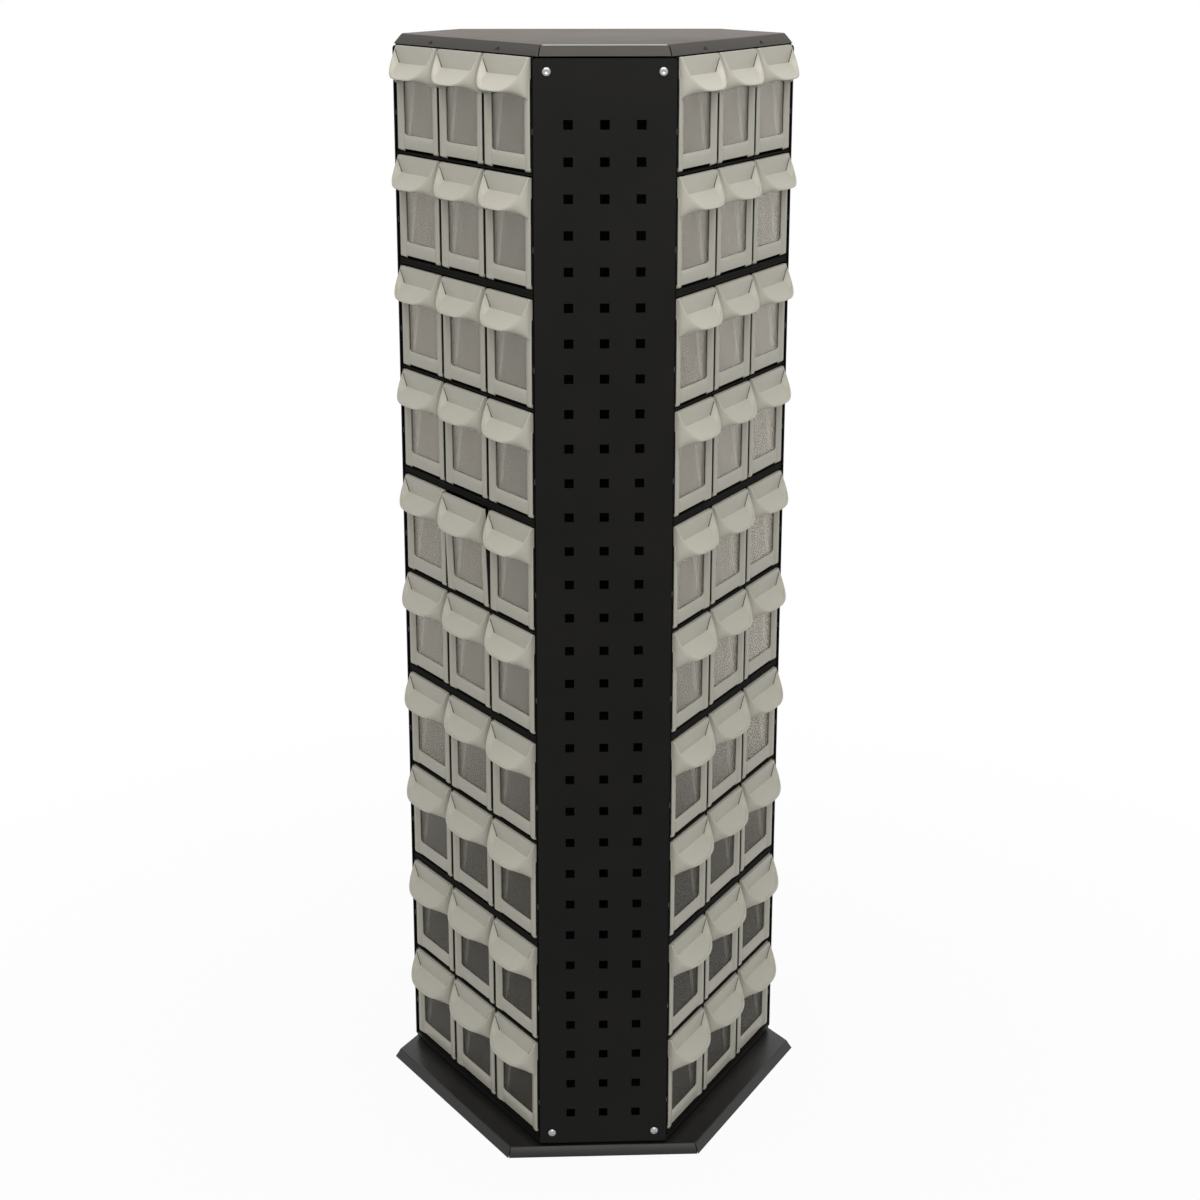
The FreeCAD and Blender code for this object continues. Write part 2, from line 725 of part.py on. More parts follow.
def scoop():
    """Finger pull: dish with a sloping floor and a low lip in front, and cheeks at its ends."""
    outside = scoop_plan("scoop_outside", SCOOP_SIDE, "scoop_reach", "scoop_corner")
    inside = scoop_plan("scoop_inside", SCOOP_INNER, "( scoop_reach - scoop_wall )",
                        "( scoop_corner - scoop_wall )")
    floor = extruded("scoop_floor_profile", "YZ", [
        ("0", "scoop_under"), ("- scoop_reach", "scoop_lip - scoop_lip_edge"), ("- scoop_reach", "scoop_lip"),
        ("0", "scoop_floor")], "scoop_width", symmetric=True)
    rim = extruded("scoop_rim_profile", "YZ", [
        ("0", "scoop_floor"), ("- scoop_reach", "scoop_lip"), ("- scoop_back", "bin_height"),
        ("0", "bin_height")], "scoop_width", symmetric=True)
    wall = common("scoop_wall_ring", cut("scoop_ring", outside, inside), rim)
    flat = "( scoop_width / 2 - scoop_corner )"
    reach, height = ("- scoop_reach", "0"), ("0", "bin_height")
    cheek = common("scoop_cheek_right", wall, slab("scoop_cheek_span", (flat, SCOOP_SIDE), reach, height))
    lip = common("scoop_lip_strip", wall, slab("scoop_lip_span", (f"- {flat}", flat), reach, height))
    dish = fused("scoop_dish", [common("scoop_base", outside, floor), lip])
    return [dish, cheek, mirror("scoop_cheek_left", cheek)]


def tub_side(front, back, rest, inner):
    """Side wall of the tub with an ear on its lower front corner, through which the hinge rod passes."""
    wall = extruded("tub_side_wall", "YZ", [
        (front, "tub_front_rise"), (back, rest), (back, "tub_back_top"), ("tub_haunch_depth", "tub_haunch"),
        ("tub_shoulder_depth", "tub_shoulder"), (front, "tub_front_top")], "tub_wall")
    place(wall, x=inner)
    ear = slab("tub_ear", (inner, "bin_width / 2"), (front, "ear_depth"), ("foot_tip", "foot_tip + ear_height"))
    bore = cylinder("tub_ear_bore", "rod_diameter / 2 + bore_clearance", "bin_width")
    bore.Placement = turned(90, FreeCAD.Vector(0, 1, 0))
    place(bore, "0", "pivot_depth", "pivot_rise")
    return cut("tub_side_right", fused("tub_side_blank", [wall, ear]), bore)


def bin_tub():
    """Clear tub behind the frame, open above, with a stop on its back wall that limits the tilt."""
    front, back = "front_thickness", "( front_thickness + tub_depth )"
    rest = "( tub_rest - bin_lift )"
    drop = f"( ( tub_front_rise - {rest} ) * tub_wall / tub_depth )"
    inner = "( tub_width / 2 - tub_wall )"
    side = tub_side(front, back, rest, inner)
    floor = extruded("tub_floor", "YZ", [
        (front, "tub_front_rise"), (back, rest), (back, f"{rest} + tub_wall"),
        (front, "tub_front_rise + tub_wall")], f"2 * {inner}", symmetric=True)
    window = extruded("tub_window", "YZ", [
        (front, "tub_front_rise + tub_wall"), (f"{front} + tub_wall", f"tub_front_rise + tub_wall - {drop}"),
        (f"{front} + tub_wall", "tub_front_top"), (front, "tub_front_top")], f"2 * {inner}", symmetric=True)
    stop_top = f"( pivot_rise + sqrt( stop_reach ^ 2 - ( {back} - pivot_depth ) ^ 2 ) )"
    rear = extruded("tub_rear", "XZ", mirrored([
        (inner, f"{rest} + tub_wall + {drop}"), (inner, "tub_back_top"),
        ("stop_width / 2", "tub_back_top"), ("stop_width / 2", stop_top)]), "tub_wall")
    place(rear, y=back)
    return [side, mirror("tub_side_left", side), floor, window, rear]


def bin_row(single):
    """Three bins side by side, which share one rod."""
    columns = []
    for column in (-1, 0, 1):
        columns.append(place(group(f"bin_column_{column + 2}", [single]), f"{column} * bin_pitch"))
    return group("bin_row", columns)


def tilt_bins():
    """The bins of the top module by themselves, and the rows below as sets of three."""
    frame = fused("bin_frame", front_rails() + front_bars() + [label_panel()])
    single = group("bin_single", [frame] + scoop() + bin_tub())
    row_of_three = bin_row(single)
    seats = {}
    last = COUNTS["modules"] - 1
    for module in range(last, -1, -1):
        for row in (1, 0):
            number = 2 * (last - module) + 2 - row
            z = row_base(module, row)
            if module > last - LOOSE_MODULES:
                for column in (-1, 0, 1):
                    seats[f"r{number:02d}_c{column + 2}"] = (single, f"{column} * bin_pitch", z)
            else:
                seats[f"r{number:02d}"] = (row_of_three, "0", z)
    bins = []
    for tag, (master, x, z) in seats.items():
        seat = place(group(f"seat_{tag}", [master]), x, f"- {FACE_PLANE}", z)
        kind = "tilt_bin" if master is single else "tilt_bin_row"
        for side, angle in FACE_TURNS.items():
            bins.append(group(f"{kind}_{side}_{tag}", [seat], angle))
    return bins


def build():
    parts = [
        base_tray(),
        race("turntable_lower_race", "base_height"),
        turntable_balls(),
        race("turntable_upper_race", "( base_height + race_height + race_gap )"),
        tower_floor(),
        top_cap(),
    ]
    upright = corner_upright()
    plate = pegboard()
    for side, angle in PANEL_TURNS.items():
        parts.append(group(f"corner_upright_{side}", [upright], angle))
        seat = group(f"pegboard_seat_{side}", [plate])
        place(seat, "0", PANEL_BACK, PANEL_BOTTOM)
        parts.append(group(f"pegboard_{side}", [seat], angle))
    parts.append(panel_screws())
    stack = housing_stack()
    for side, angle in FACE_TURNS.items():
        parts.append(group(f"bin_housings_{side}", stack, angle))
    parts += [hinge_rods(), housing_clips()]
    return parts + tilt_bins()


def check(parts):
    for obj in doc.Objects:
        if "Invalid" in obj.State or "Error" in obj.State:
            raise RuntimeError(f"{obj.Name} failed: {obj.State}")
    for part in parts:
        if part.Shape.isNull() or not part.Shape.isValid():
            raise RuntimeError(f"{part.Label} has no valid shape")


parts = build()
doc.recompute()
check(parts)
os.makedirs("parts", exist_ok=True)
for part in parts:
    part.Shape.exportStep(os.path.join("parts", part.Label + ".step"))
    print(part.Label, len(part.Shape.Solids), "solids", round(part.Shape.Volume / 1000, 2), "cm3")
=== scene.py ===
import json
import math
import bmesh
import bpy
from mathutils import Matrix, Vector


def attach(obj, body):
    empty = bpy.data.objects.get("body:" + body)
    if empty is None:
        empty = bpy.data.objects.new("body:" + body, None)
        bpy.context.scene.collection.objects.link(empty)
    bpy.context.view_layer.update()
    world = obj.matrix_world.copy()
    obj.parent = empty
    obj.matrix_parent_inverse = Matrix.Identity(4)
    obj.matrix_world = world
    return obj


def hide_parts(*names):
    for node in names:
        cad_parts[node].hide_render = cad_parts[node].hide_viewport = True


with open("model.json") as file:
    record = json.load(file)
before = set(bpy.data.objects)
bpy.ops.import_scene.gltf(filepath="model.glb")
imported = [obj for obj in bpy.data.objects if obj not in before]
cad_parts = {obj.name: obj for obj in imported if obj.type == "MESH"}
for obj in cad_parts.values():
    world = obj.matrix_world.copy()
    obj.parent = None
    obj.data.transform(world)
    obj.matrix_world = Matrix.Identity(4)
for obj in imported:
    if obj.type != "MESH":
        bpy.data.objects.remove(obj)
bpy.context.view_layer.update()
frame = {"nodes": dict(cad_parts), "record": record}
nodes = frame["nodes"]

MM = 0.001

# Sizes of the tower that the new pieces share with the CAD model, in millimetres.
PANEL_WIDTH, FACE_WIDTH = 148.0, 310.0
FACE_PLANE = (2 * PANEL_WIDTH + FACE_WIDTH) / (2 * math.sqrt(3))
PANEL_PLANE = (PANEL_WIDTH + 2 * FACE_WIDTH) / (2 * math.sqrt(3))
FLOOR_TOP, HOUSING_HEIGHT, ROW_PITCH, FOOT_RISE, MODULES = 19.2, 249.5, 122.0, 4.0, 5
BIN_PITCH, BIN_WIDTH, BIN_HEIGHT = 100.0, 94.0, 118.0
FACE_TURNS = {"left": -60.0, "right": 60.0, "rear": 180.0}
PANEL_TURNS = {"front": 0.0, "right": 120.0, "left": -120.0}
PANEL_FOOT, PANEL_TOP = 15.0, 1260.4


# Mesh making

WELD = 0.01


def shade(mesh, sharp):
    """Smooth shading that keeps edges sharper than an angle, in degrees."""
    for polygon in mesh.polygons:
        polygon.use_smooth = True
    mesh.set_sharp_from_angle(angle=math.radians(sharp))


class Shape:
    """Vertices and faces collected from strips of points, in millimetres."""

    def __init__(self):
        self.verts = []
        self.faces = []

    def add(self, points):
        start = len(self.verts)
        self.verts += [tuple(p) for p in points]
        return list(range(start, start + len(points)))

    def grid(self, rows, loop=False, ends=False, wrap=False):
        """Skin over rows of equally many points.

        loop joins each row's ends, wrap joins the last row to the first, and ends closes the outer rows.
        """
        rings = [self.add(row) for row in rows]
        pairs = list(zip(rings, rings[1:]))
        if wrap:
            pairs.append((rings[-1], rings[0]))
        count = len(rings[0])
        for a, b in pairs:
            for i in range(count if loop else count - 1):
                j = (i + 1) % count
                self.faces.append((a[i], a[j], b[j], b[i]))
        if ends:
            self.faces.append(tuple(reversed(rings[0])))
            self.faces.append(tuple(rings[-1]))
        return rings

    def mesh(self, name, sharp=35.0):
        mesh = bpy.data.meshes.new(name)
        mesh.from_pydata([(x * MM, y * MM, z * MM) for x, y, z in self.verts], [], self.faces)
        work = bmesh.new()
        work.from_mesh(mesh)
        bmesh.ops.remove_doubles(work, verts=work.verts, dist=WELD * MM)
        bmesh.ops.recalc_face_normals(work, faces=work.faces)
        work.to_mesh(mesh)
        work.free()
        shade(mesh, sharp)
        return mesh


def lerp(a, b, t):
    return a + (b - a) * t


def bezier(a, b, c, steps):
    """Points of a curve from a to c that leans towards b."""
    points = []
    for i in range(steps + 1):
        t = i / steps
        points.append(tuple((1 - t) ** 2 * p + 2 * t * (1 - t) * q + t * t * r
                            for p, q, r in zip(a, b, c)))
    return points


# Grey bin front: x across, y inward from the rails' face, z up from the feet

PLATE_BACK, PLATE_TOP = 3.0, BIN_HEIGHT - 0.4
RECESS, RECESS_FOOT = 2.2, 96.0
STEP = 0.1

# Rail: inset from the outer edge or place across, depth, and share of the foot's slope that the point takes
RAIL_INNER = 34.5
RAIL_LIP = [(0.0, 1.0, 0.8), (0.35, 0.35, 0.9), (1.0, 0.0, 1.0)]
RAIL_BEVEL = [(41.2, 0.0, 1.0), (40.4, 0.12, 1.0), (36.4, 1.5, 0.4), (35.7, 1.85, 0.3),
              (RAIL_INNER, 2.0, 0.3)]
LIP_INNER, LIP_BACK, LIP_BACK_EDGE, LIP_EDGE_INSET = 44.2, 1.75, 1.4, 0.25
FOOT_ROUND, FOOT_CUT, FOOT_SLOPE, FOOT_EDGE = 4.5, 2.35, 1.5, 2.95
FOOT_RINGS = [0.55, 0.9, 1.5, 2.2, 3.0, 4.0]
RAIL_RINGS = [FOOT_ROUND, FOOT_ROUND + STEP, 40.0, 80.0, RECESS_FOOT, RECESS_FOOT + STEP, PLATE_TOP]

# Sill under the window, as depth and height, and the fillets that join it to the rails
SILL_PROFILE = [(PLATE_BACK, 3.0), (1.9, 3.0), (1.25, 3.3), (1.05, 4.0), (1.05, 14.6), (1.3, 15.4),
                (2.3, 18.0), (2.6, 18.4), (PLATE_BACK, 18.5)]
SILL_BEVEL_FOOT = 14.0
FILLET_START, FILLET_SPAN, FILLET_RISE, FILLET_BACK = 31.2, 3.4, 2.6, 0.75
FILLET_RINGS = [35.6, 34.4, 33.4, 32.4, FILLET_START]

# Plate with an arched lower edge, and the scoop in front of it
ARCH_TOP, ARCH_DROP, ARCH_HALF = 82.0, 6.5, 41.0
FASCIA_HALF, FASCIA_FRONT, FASCIA_STEPS = 36.5, 0.2, 16
SCOOP_HALF, SCOOP_START, SCOOP_REACH, SCOOP_POWER = 46.3, -2.2, 21.2, 2.45
SCOOP_WALL, SCOOP_LEAN, SCOOP_COLUMNS = 2.0, 0.72, 48
SCOOP_FILLET, SCOOP_FILLET_SHARE, SCOOP_FOOT_LIMIT = 5.0, 0.45, 0.97
FLOOR_HALF, FLOOR_JOIN, FLOOR_DROP = 29.5, 98.5, 1.4
RIM_TOP, RIM_TURN, RIM_LIP, RIM_POWER = BIN_HEIGHT - 0.3, 0.3, 82.9, 1.4
RIM_CROWN = ((0.3, 0.42), (0.7, 0.28))
RIM_INNER_DROP, RIM_OUTER_DROP, LIP_UNDERSIDE = 0.1, 0.5, 2.0
LABEL_DEPTH, LABEL_HALF = 2.0, 43.0
LABEL_EDGE = [(0.0, -2.6), (0.0, LABEL_DEPTH - 0.3), (0.08, LABEL_DEPTH - 0.08), (0.3, LABEL_DEPTH)]
STUD_REACH, STUD_HEIGHT = 22.0, 104.0
# Where the painted shade beside the label panel's ends lies: distances out from the rails' face and heights,
# in millimetres
SLIT_NEAR, SLIT_FAR, SLIT_FOOT, SLIT_TOP = 2.05, 2.6, 98.9, 116.0


def rail_section(z):
    """Cross-section of the right rail at one height: thin outer lip, flat strip, bevel to the window."""
    outer = BIN_WIDTH / 2
    if z < FOOT_ROUND:
        outer -= FOOT_ROUND - math.sqrt(FOOT_ROUND ** 2 - (FOOT_ROUND - z) ** 2)
    lift = FOOT_SLOPE * max(0.0, FOOT_CUT - z)
    front = [(outer - inset, y + share * lift) for inset, y, share in RAIL_LIP]
    front += [(x, y + share * lift) for x, y, share in RAIL_BEVEL]
    back = [(outer, PLATE_BACK), (outer, 2.98), (outer, 2.96)]
    if z > RECESS_FOOT:
        front = [(x, max(y, RECESS)) for x, y in front]
    elif z > FOOT_ROUND:
        back = [(LIP_INNER, PLATE_BACK), (LIP_INNER, LIP_BACK), (outer - LIP_EDGE_INSET, LIP_BACK_EDGE)]
    ring = back + [(x, min(y, FOOT_EDGE)) for x, y in front] + [(RAIL_INNER, PLATE_BACK)]
    return [(x, y, z) for x, y in ring]


def add_rails(shape):
    """Rails beside the window; behind the finger pull their front steps back."""
    for sign in (1, -1):
        rows = [[(sign * x, y, z) for x, y, z in rail_section(z)] for z in FOOT_RINGS + RAIL_RINGS]
        shape.grid(rows, loop=True, ends=True)


def add_sill(shape):
    """Bar under the window, set back from the rails, with a sloping upper edge and small corner fillets."""
    rows = []
    for x in [-x for x in FILLET_RINGS] + FILLET_RINGS[::-1]:
        turn = max(0.0, abs(x) - FILLET_START) / FILLET_SPAN
        rise, back = FILLET_RISE * min(1.0, turn) ** 2, FILLET_BACK * turn ** 2
        rows.append([(x, min(PLATE_BACK, y + back), z + (rise if z > SILL_BEVEL_FOOT else 0.0))
                     for y, z in SILL_PROFILE])
    shape.grid(rows, loop=True, ends=True)


def arch_height(x):
    """Lower edge of the plate behind the scoop."""
    return ARCH_TOP - ARCH_DROP * (x / ARCH_HALF) ** 2


def add_fascia(shape):
    """Plate behind the scoop with an arched lower edge."""
    rows = []
    for i in range(FASCIA_STEPS + 1):
        x = lerp(-FASCIA_HALF, FASCIA_HALF, i / FASCIA_STEPS)
        low = arch_height(x)
        section = [(PLATE_BACK, low), (1.2, low), (0.5, low + 0.5), (FASCIA_FRONT, low + 1.4),
                   (FASCIA_FRONT, RECESS_FOOT), (RECESS, RECESS_FOOT),
                   (RECESS, PLATE_TOP), (PLATE_BACK, PLATE_TOP)]
        rows.append([(x, y, z) for y, z in section])
    shape.grid(rows, loop=True, ends=True)


def scoop_plan(turn):
    """Plan of the scoop at an angle from 0 to pi: share across, from -1 to 1, and share out, from 0 to 1."""
    c, s = math.cos(turn), abs(math.sin(turn))
    return math.copysign(abs(c) ** (2 / SCOOP_POWER), -c), s ** (2 / SCOOP_POWER)


def rim_height(v):
    """Height of the rim that far out from the rails' face."""
    out = max(0.0, v - RIM_TURN) / (SCOOP_REACH - RIM_TURN)
    return lerp(RIM_TOP, RIM_LIP, 1 - (1 - min(1.0, out)) ** RIM_POWER)


def floor_height(v):
    """Sloping floor of the scoop, that far out from the rails' face."""
    lip = SCOOP_REACH - SCOOP_WALL
    return lerp(FLOOR_JOIN, rim_height(lip) - FLOOR_DROP, (v - LABEL_DEPTH) / (lip - LABEL_DEPTH))


def scoop_profile(turn):
    """Closed section of the scoop's shell at one angle: floor, leaning wall, rim, and beneath to the arch."""
    across, reach = scoop_plan(turn)
    x_out, v_out = SCOOP_HALF * across, lerp(SCOOP_START, SCOOP_REACH, reach)
    x_in, v_rim = (SCOOP_HALF - SCOOP_WALL) * across, lerp(SCOOP_START, SCOOP_REACH - SCOOP_WALL, reach)
    v_in = max(LABEL_DEPTH - 0.1, v_rim)
    crest = Vector((x_in, -v_in, rim_height(v_rim) - RIM_INNER_DROP))
    back = Vector((FLOOR_HALF * across, -LABEL_DEPTH + 0.1, FLOOR_JOIN))
    span = math.hypot(x_in - back.x, v_in + back.y)
    share = min(SCOOP_FOOT_LIMIT, SCOOP_LEAN * (crest.z - floor_height(v_in)) / span)
    foot = crest.lerp(back, share)
    foot.z = floor_height(-foot.y)
    along, up = back - foot, crest - foot
    fillet = min(SCOOP_FILLET, SCOOP_FILLET_SHARE * along.length, SCOOP_FILLET_SHARE * up.length)
    inner, outer = foot + along.normalized() * fillet, foot + up.normalized() * fillet
    points = [tuple(back.lerp(inner, k / 3)) for k in range(3)]
    points += bezier(inner, foot, outer, 6)
    points += [tuple(outer.lerp(crest, k / 2)) for k in (1, 2)]
    top = rim_height((v_rim + v_out) / 2)
    for part, rise in RIM_CROWN:
        points.append((lerp(x_in, x_out, part), -lerp(v_in, v_out, part), top + rise))
    edge, low = rim_height(v_out) - RIM_OUTER_DROP, arch_height(x_out)
    points += bezier((x_out, -v_out, edge), (x_out, -v_out, lerp(low, RIM_LIP - LIP_UNDERSIDE, reach ** 2)),
                     (x_out * 0.98, 0.4, low + 1.2), 10)
    points.append((x_out * 0.96, RECESS, low + 1.4))
    points.append((x_out * 0.96, RECESS, RECESS_FOOT))
    return points


def add_scoop(shape):
    turns = [math.pi * i / SCOOP_COLUMNS for i in range(SCOOP_COLUMNS + 1)]
    shape.grid([scoop_profile(turn) for turn in turns], loop=True, ends=True)


def add_label_panel(shape):
    """Flat panel at the back of the scoop, with eased front edges and two moulding marks."""
    low, high = FLOOR_JOIN - 3.0, BIN_HEIGHT - 0.15
    rows = []
    for inset, depth in LABEL_EDGE:
        x, z = LABEL_HALF - inset, high - inset
        rows.append([(-x, -depth, low), (x, -depth, low), (x, -depth, z), (-x, -depth, z)])
    shape.grid(rows, loop=True, ends=True)
    for x in (-STUD_REACH, STUD_REACH):
        add_stud(shape, x, STUD_HEIGHT)


def add_stud(shape, x, z, radius=0.9, rise=0.4):
    """Low round moulding mark on the label panel."""
    rows = []
    for k in range(5):
        turn = math.pi / 2 * k / 4.4
        r, out = radius * math.cos(turn), rise * math.sin(turn) - 0.1
        rows.append([(x + r * math.cos(a), -LABEL_DEPTH - out, z + r * math.sin(a))
                     for a in (math.tau * j / 14 for j in range(14))])
    shape.grid(rows, loop=True, ends=True)


def front_mesh():
    shape = Shape()
    add_rails(shape)
    add_sill(shape)
    add_fascia(shape)
    add_scoop(shape)
    add_label_panel(shape)
    return shape.mesh("bin_front_mesh", sharp=32.0)


# Clear tub behind the front

TUB_SIDE = [(3.0, 7.5), (82.0, -0.2), (82.0, 76.0), (60.0, 92.0), (30.0, 104.0), (3.0, 108.0)]
TUB_HALF, TUB_WALL = 44.0, 1.6
STOP_HALF, STOP_TOP = 12.0, 91.4
PIVOT_Y, PIVOT_Z = 5.5, 4.5
EAR_FOOT, EAR_TOP, EAR_DEEP, EAR_REACH, EAR_BORE, EAR_STEPS = 0.55, 12.55, 9.5, 7.0, 1.9, 24
WINDOW_FRONT = 3.1
RIB_DEPTH, RIB_LEAN, RIB_MIDDLE, RIB_SPREAD, RIB_HALF = 16.5, 0.105, 50.0, 1.6, 0.6


def rounded_outline(points, radius, steps=4):
    """Outline with its corners rounded, as points of the plane."""
    result = []
    count = len(points)
    for i, p in enumerate(points):
        before, after = points[i - 1], points[(i + 1) % count]
        here = Vector(p)
        a, b = Vector(before) - here, Vector(after) - here
        start, end = here + a.normalized() * radius, here + b.normalized() * radius
        result += bezier(tuple(start), tuple(here), tuple(end), steps)
    return result


def add_ears(shape):
    """Ears on the tub's lower front corners, each with a bore for the hinge rod."""
    for sign in (1, -1):
        rows = []
        for x in (TUB_HALF - TUB_WALL, BIN_WIDTH / 2):
            outer, inner = [], []
            for j in range(EAR_STEPS):
                a = math.tau * j / EAR_STEPS
                c, s = math.cos(a), math.sin(a)
                reach = EAR_REACH
                if abs(c) > 1e-6:
                    reach = min(reach, ((EAR_DEEP if c > 0 else PLATE_BACK) - PIVOT_Y) / c)
                if abs(s) > 1e-6:
                    reach = min(reach, ((EAR_TOP if s > 0 else EAR_FOOT) - PIVOT_Z) / s)
                outer.append((sign * x, PIVOT_Y + reach * c, PIVOT_Z + reach * s))
                inner.append((sign * x, PIVOT_Y + EAR_BORE * c, PIVOT_Z + EAR_BORE * s))
            rows.append((outer, inner))
        (o1, i1), (o2, i2) = rows
        shape.grid([o1, o2, i2, i1], loop=True, wrap=True)


def rib_depth(z):
    """Depth of the divider ribs, which stand square to the tub's sloping floor."""
    return RIB_DEPTH + (z - RIB_MIDDLE) * RIB_LEAN


def add_ribs(shape):
    """Pairs of slender ribs on the side walls, which hold a divider."""
    inner = TUB_HALF - TUB_WALL
    for sign in (1, -1):
        for shift in (-RIB_SPREAD, RIB_SPREAD):
            rows = []
            for z, rise in ((8.0, 0.9), (55.0, 0.8), (100.0, 0.6)):
                y = rib_depth(z) + shift
                rows.append([(sign * inner, y - RIB_HALF, z), (sign * (inner - rise), y, z),
                             (sign * inner, y + RIB_HALF, z)])
            shape.grid(rows, loop=True, ends=True)


def tub_mesh(lift=0.0):
    """Thin-walled tub, open above; lift raises all of it but the top of its stop."""
    shape = Shape()
    side = rounded_outline(TUB_SIDE, 1.2)
    inner = TUB_HALF - TUB_WALL
    for sign in (1, -1):
        shape.grid([[(sign * x, y, z) for y, z in side] for x in (TUB_HALF, inner)], loop=True, ends=True)

    def bar(section, half=inner):
        shape.grid([[(x, y, z) for y, z in section] for x in (-half, half)], loop=True, ends=True)

    bar([(3.0, 7.5), (82.0, -0.2), (82.0, 1.4), (3.0, 9.1)])
    near, far = WINDOW_FRONT, WINDOW_FRONT + TUB_WALL
    bar([(near, 9.0), (far, 8.85), (far, 107.4), (far - 0.4, 107.8), (near + 0.4, 107.8), (near, 107.4)])
    bar([(80.4, 1.55), (82.0, 1.4), (82.0, 75.6), (81.6, 76.0), (80.8, 76.0), (80.4, 75.6)])
    stop = STOP_TOP - lift
    bar([(80.4, 75.0), (82.0, 75.0), (82.0, stop), (80.4, stop)], STOP_HALF)
    add_ribs(shape)
    add_ears(shape)
    shape.verts = [(x, y, z + lift) for x, y, z in shape.verts]
    return shape.mesh("bin_tub_mesh", sharp=30.0)


# Black housing: six bays behind one front, standing on z = 0 with the bin plane at y = 0

HOUSING_X = (-150.5, -149.0, -51.0, -49.0, 49.0, 51.0, 149.0, 150.5)
HOUSING_Z = (0.0, 3.5, 123.5, 125.5, 245.5, 249.5)
HOUSING_FRONT, HOUSING_REAR, HOUSING_BACK = 1.0, 84.0, 86.0
HOUSING_CORNER, HOUSING_EDGE, ROOF_RELIEF = 4.0, 0.55, 9.0


def housing_mesh(roofed):
    """Walls of a housing; without a roof its walls end below the cap's flange."""
    shape = Shape()
    zs = HOUSING_Z if roofed else HOUSING_Z[:-1]
    xs, front, rear, back = HOUSING_X, HOUSING_FRONT, HOUSING_REAR, HOUSING_BACK

    def quad(*points):
        shape.faces.append(tuple(shape.add(points)))

    last = len(zs) - 2
    for i, (x0, x1) in enumerate(zip(xs, xs[1:])):
        for k, (z0, z1) in enumerate(zip(zs, zs[1:])):
            if i % 2 == 1 and k % 2 == 1:
                quad((x0, front, z0), (x0, rear, z0), (x0, rear, z1), (x0, front, z1))
                quad((x1, front, z0), (x1, front, z1), (x1, rear, z1), (x1, rear, z0))
                quad((x0, front, z0), (x1, front, z0), (x1, rear, z0), (x0, rear, z0))
                quad((x0, rear, z0), (x1, rear, z0), (x1, rear, z1), (x0, rear, z1))
                if roofed or k != last:
                    quad((x0, front, z1), (x0, rear, z1), (x1, rear, z1), (x1, front, z1))
            else:
                quad((x0, front, z0), (x1, front, z0), (x1, front, z1), (x0, front, z1))
                if k == last:
                    quad((x0, front, z1), (x1, front, z1), (x1, rear, z1), (x0, rear, z1))
        quad((x0, rear, zs[-1]), (x1, rear, zs[-1]), (x1, back, zs[-1]), (x0, back, zs[-1]))
        if roofed and i % 2 == 1:
            quad((x0, front, zs[-1]), (x1, front, zs[-1]), (x1, rear, zs[-1]), (x0, rear, zs[-1]))
        quad((x0, front, 0.0), (x0, back, 0.0), (x1, back, 0.0), (x1, front, 0.0))
    for z0, z1 in zip(zs, zs[1:]):
        for x in (xs[0], xs[-1]):
            quad((x, front, z0), (x, rear, z0), (x, rear, z1), (x, front, z1))
            quad((x, rear, z0), (x, back, z0), (x, back, z1), (x, rear, z1))
        for x0, x1 in zip(xs, xs[1:]):
            quad((x0, back, z0), (x0, back, z1), (x1, back, z1), (x1, back, z0))
    return rounded_housing(shape.mesh("housing_mesh"))


def rounded_housing(mesh):
    """Round the housing's four outer corners and soften its front edges."""
    work = bmesh.new()
    work.from_mesh(mesh)
    low, high = min(v.co.z for v in work.verts), max(v.co.z for v in work.verts)
    reach = HOUSING_X[-1] * MM

    def at_corner(v):
        return abs(abs(v.co.x) - reach) < 1e-6 and (abs(v.co.z - low) < 1e-6 or abs(v.co.z - high) < 1e-6)

    corners = [e for e in work.edges if all(at_corner(v) for v in e.verts)
               and abs(e.verts[0].co.y - e.verts[1].co.y) > 1e-4]
    bmesh.ops.bevel(work, geom=corners, offset=HOUSING_CORNER * MM, segments=5, profile=0.5, affect="EDGES")
    fronts = [e for e in work.edges if all(abs(v.co.y - HOUSING_FRONT * MM) < 1e-6 for v in e.verts)
              and len(e.link_faces) == 2 and e.calc_face_angle() > 1.0]
    bmesh.ops.bevel(work, geom=fronts, offset=HOUSING_EDGE * MM, segments=2, profile=0.5, affect="EDGES")
    work.to_mesh(mesh)
    work.free()
    shade(mesh, 40.0)
    return mesh


# Materials

def material(name):
    made = bpy.data.materials.new(name)
    made.use_nodes = True
    tree = made.node_tree
    return made, tree, tree.nodes["Principled BSDF"]


def noise(tree, scale, detail=4.0, rough=0.5, stretch=None):
    """Noise over the object's own coordinates, in metres."""
    where = tree.nodes.new("ShaderNodeTexCoord")
    source = where.outputs["Object"]
    if stretch:
        mapping = tree.nodes.new("ShaderNodeMapping")
        mapping.inputs["Scale"].default_value = stretch
        tree.links.new(source, mapping.inputs["Vector"])
        source = mapping.outputs["Vector"]
    made = tree.nodes.new("ShaderNodeTexNoise")
    made.inputs["Scale"].default_value = scale
    made.inputs["Detail"].default_value = detail
    made.inputs["Roughness"].default_value = rough
    tree.links.new(source, made.inputs["Vector"])
    return made.outputs["Fac"]


def ramp(tree, source, stops):
    made = tree.nodes.new("ShaderNodeValToRGB")
    elements = made.color_ramp.elements
    while len(elements) < len(stops):
        elements.new(0.5)
    for element, (place, colour) in zip(elements, stops):
        element.position = place
        element.color = (*colour, 1.0)
    tree.links.new(source, made.inputs["Fac"])
    return made.outputs["Color"]


def grey(value):
    return (value, value, value)


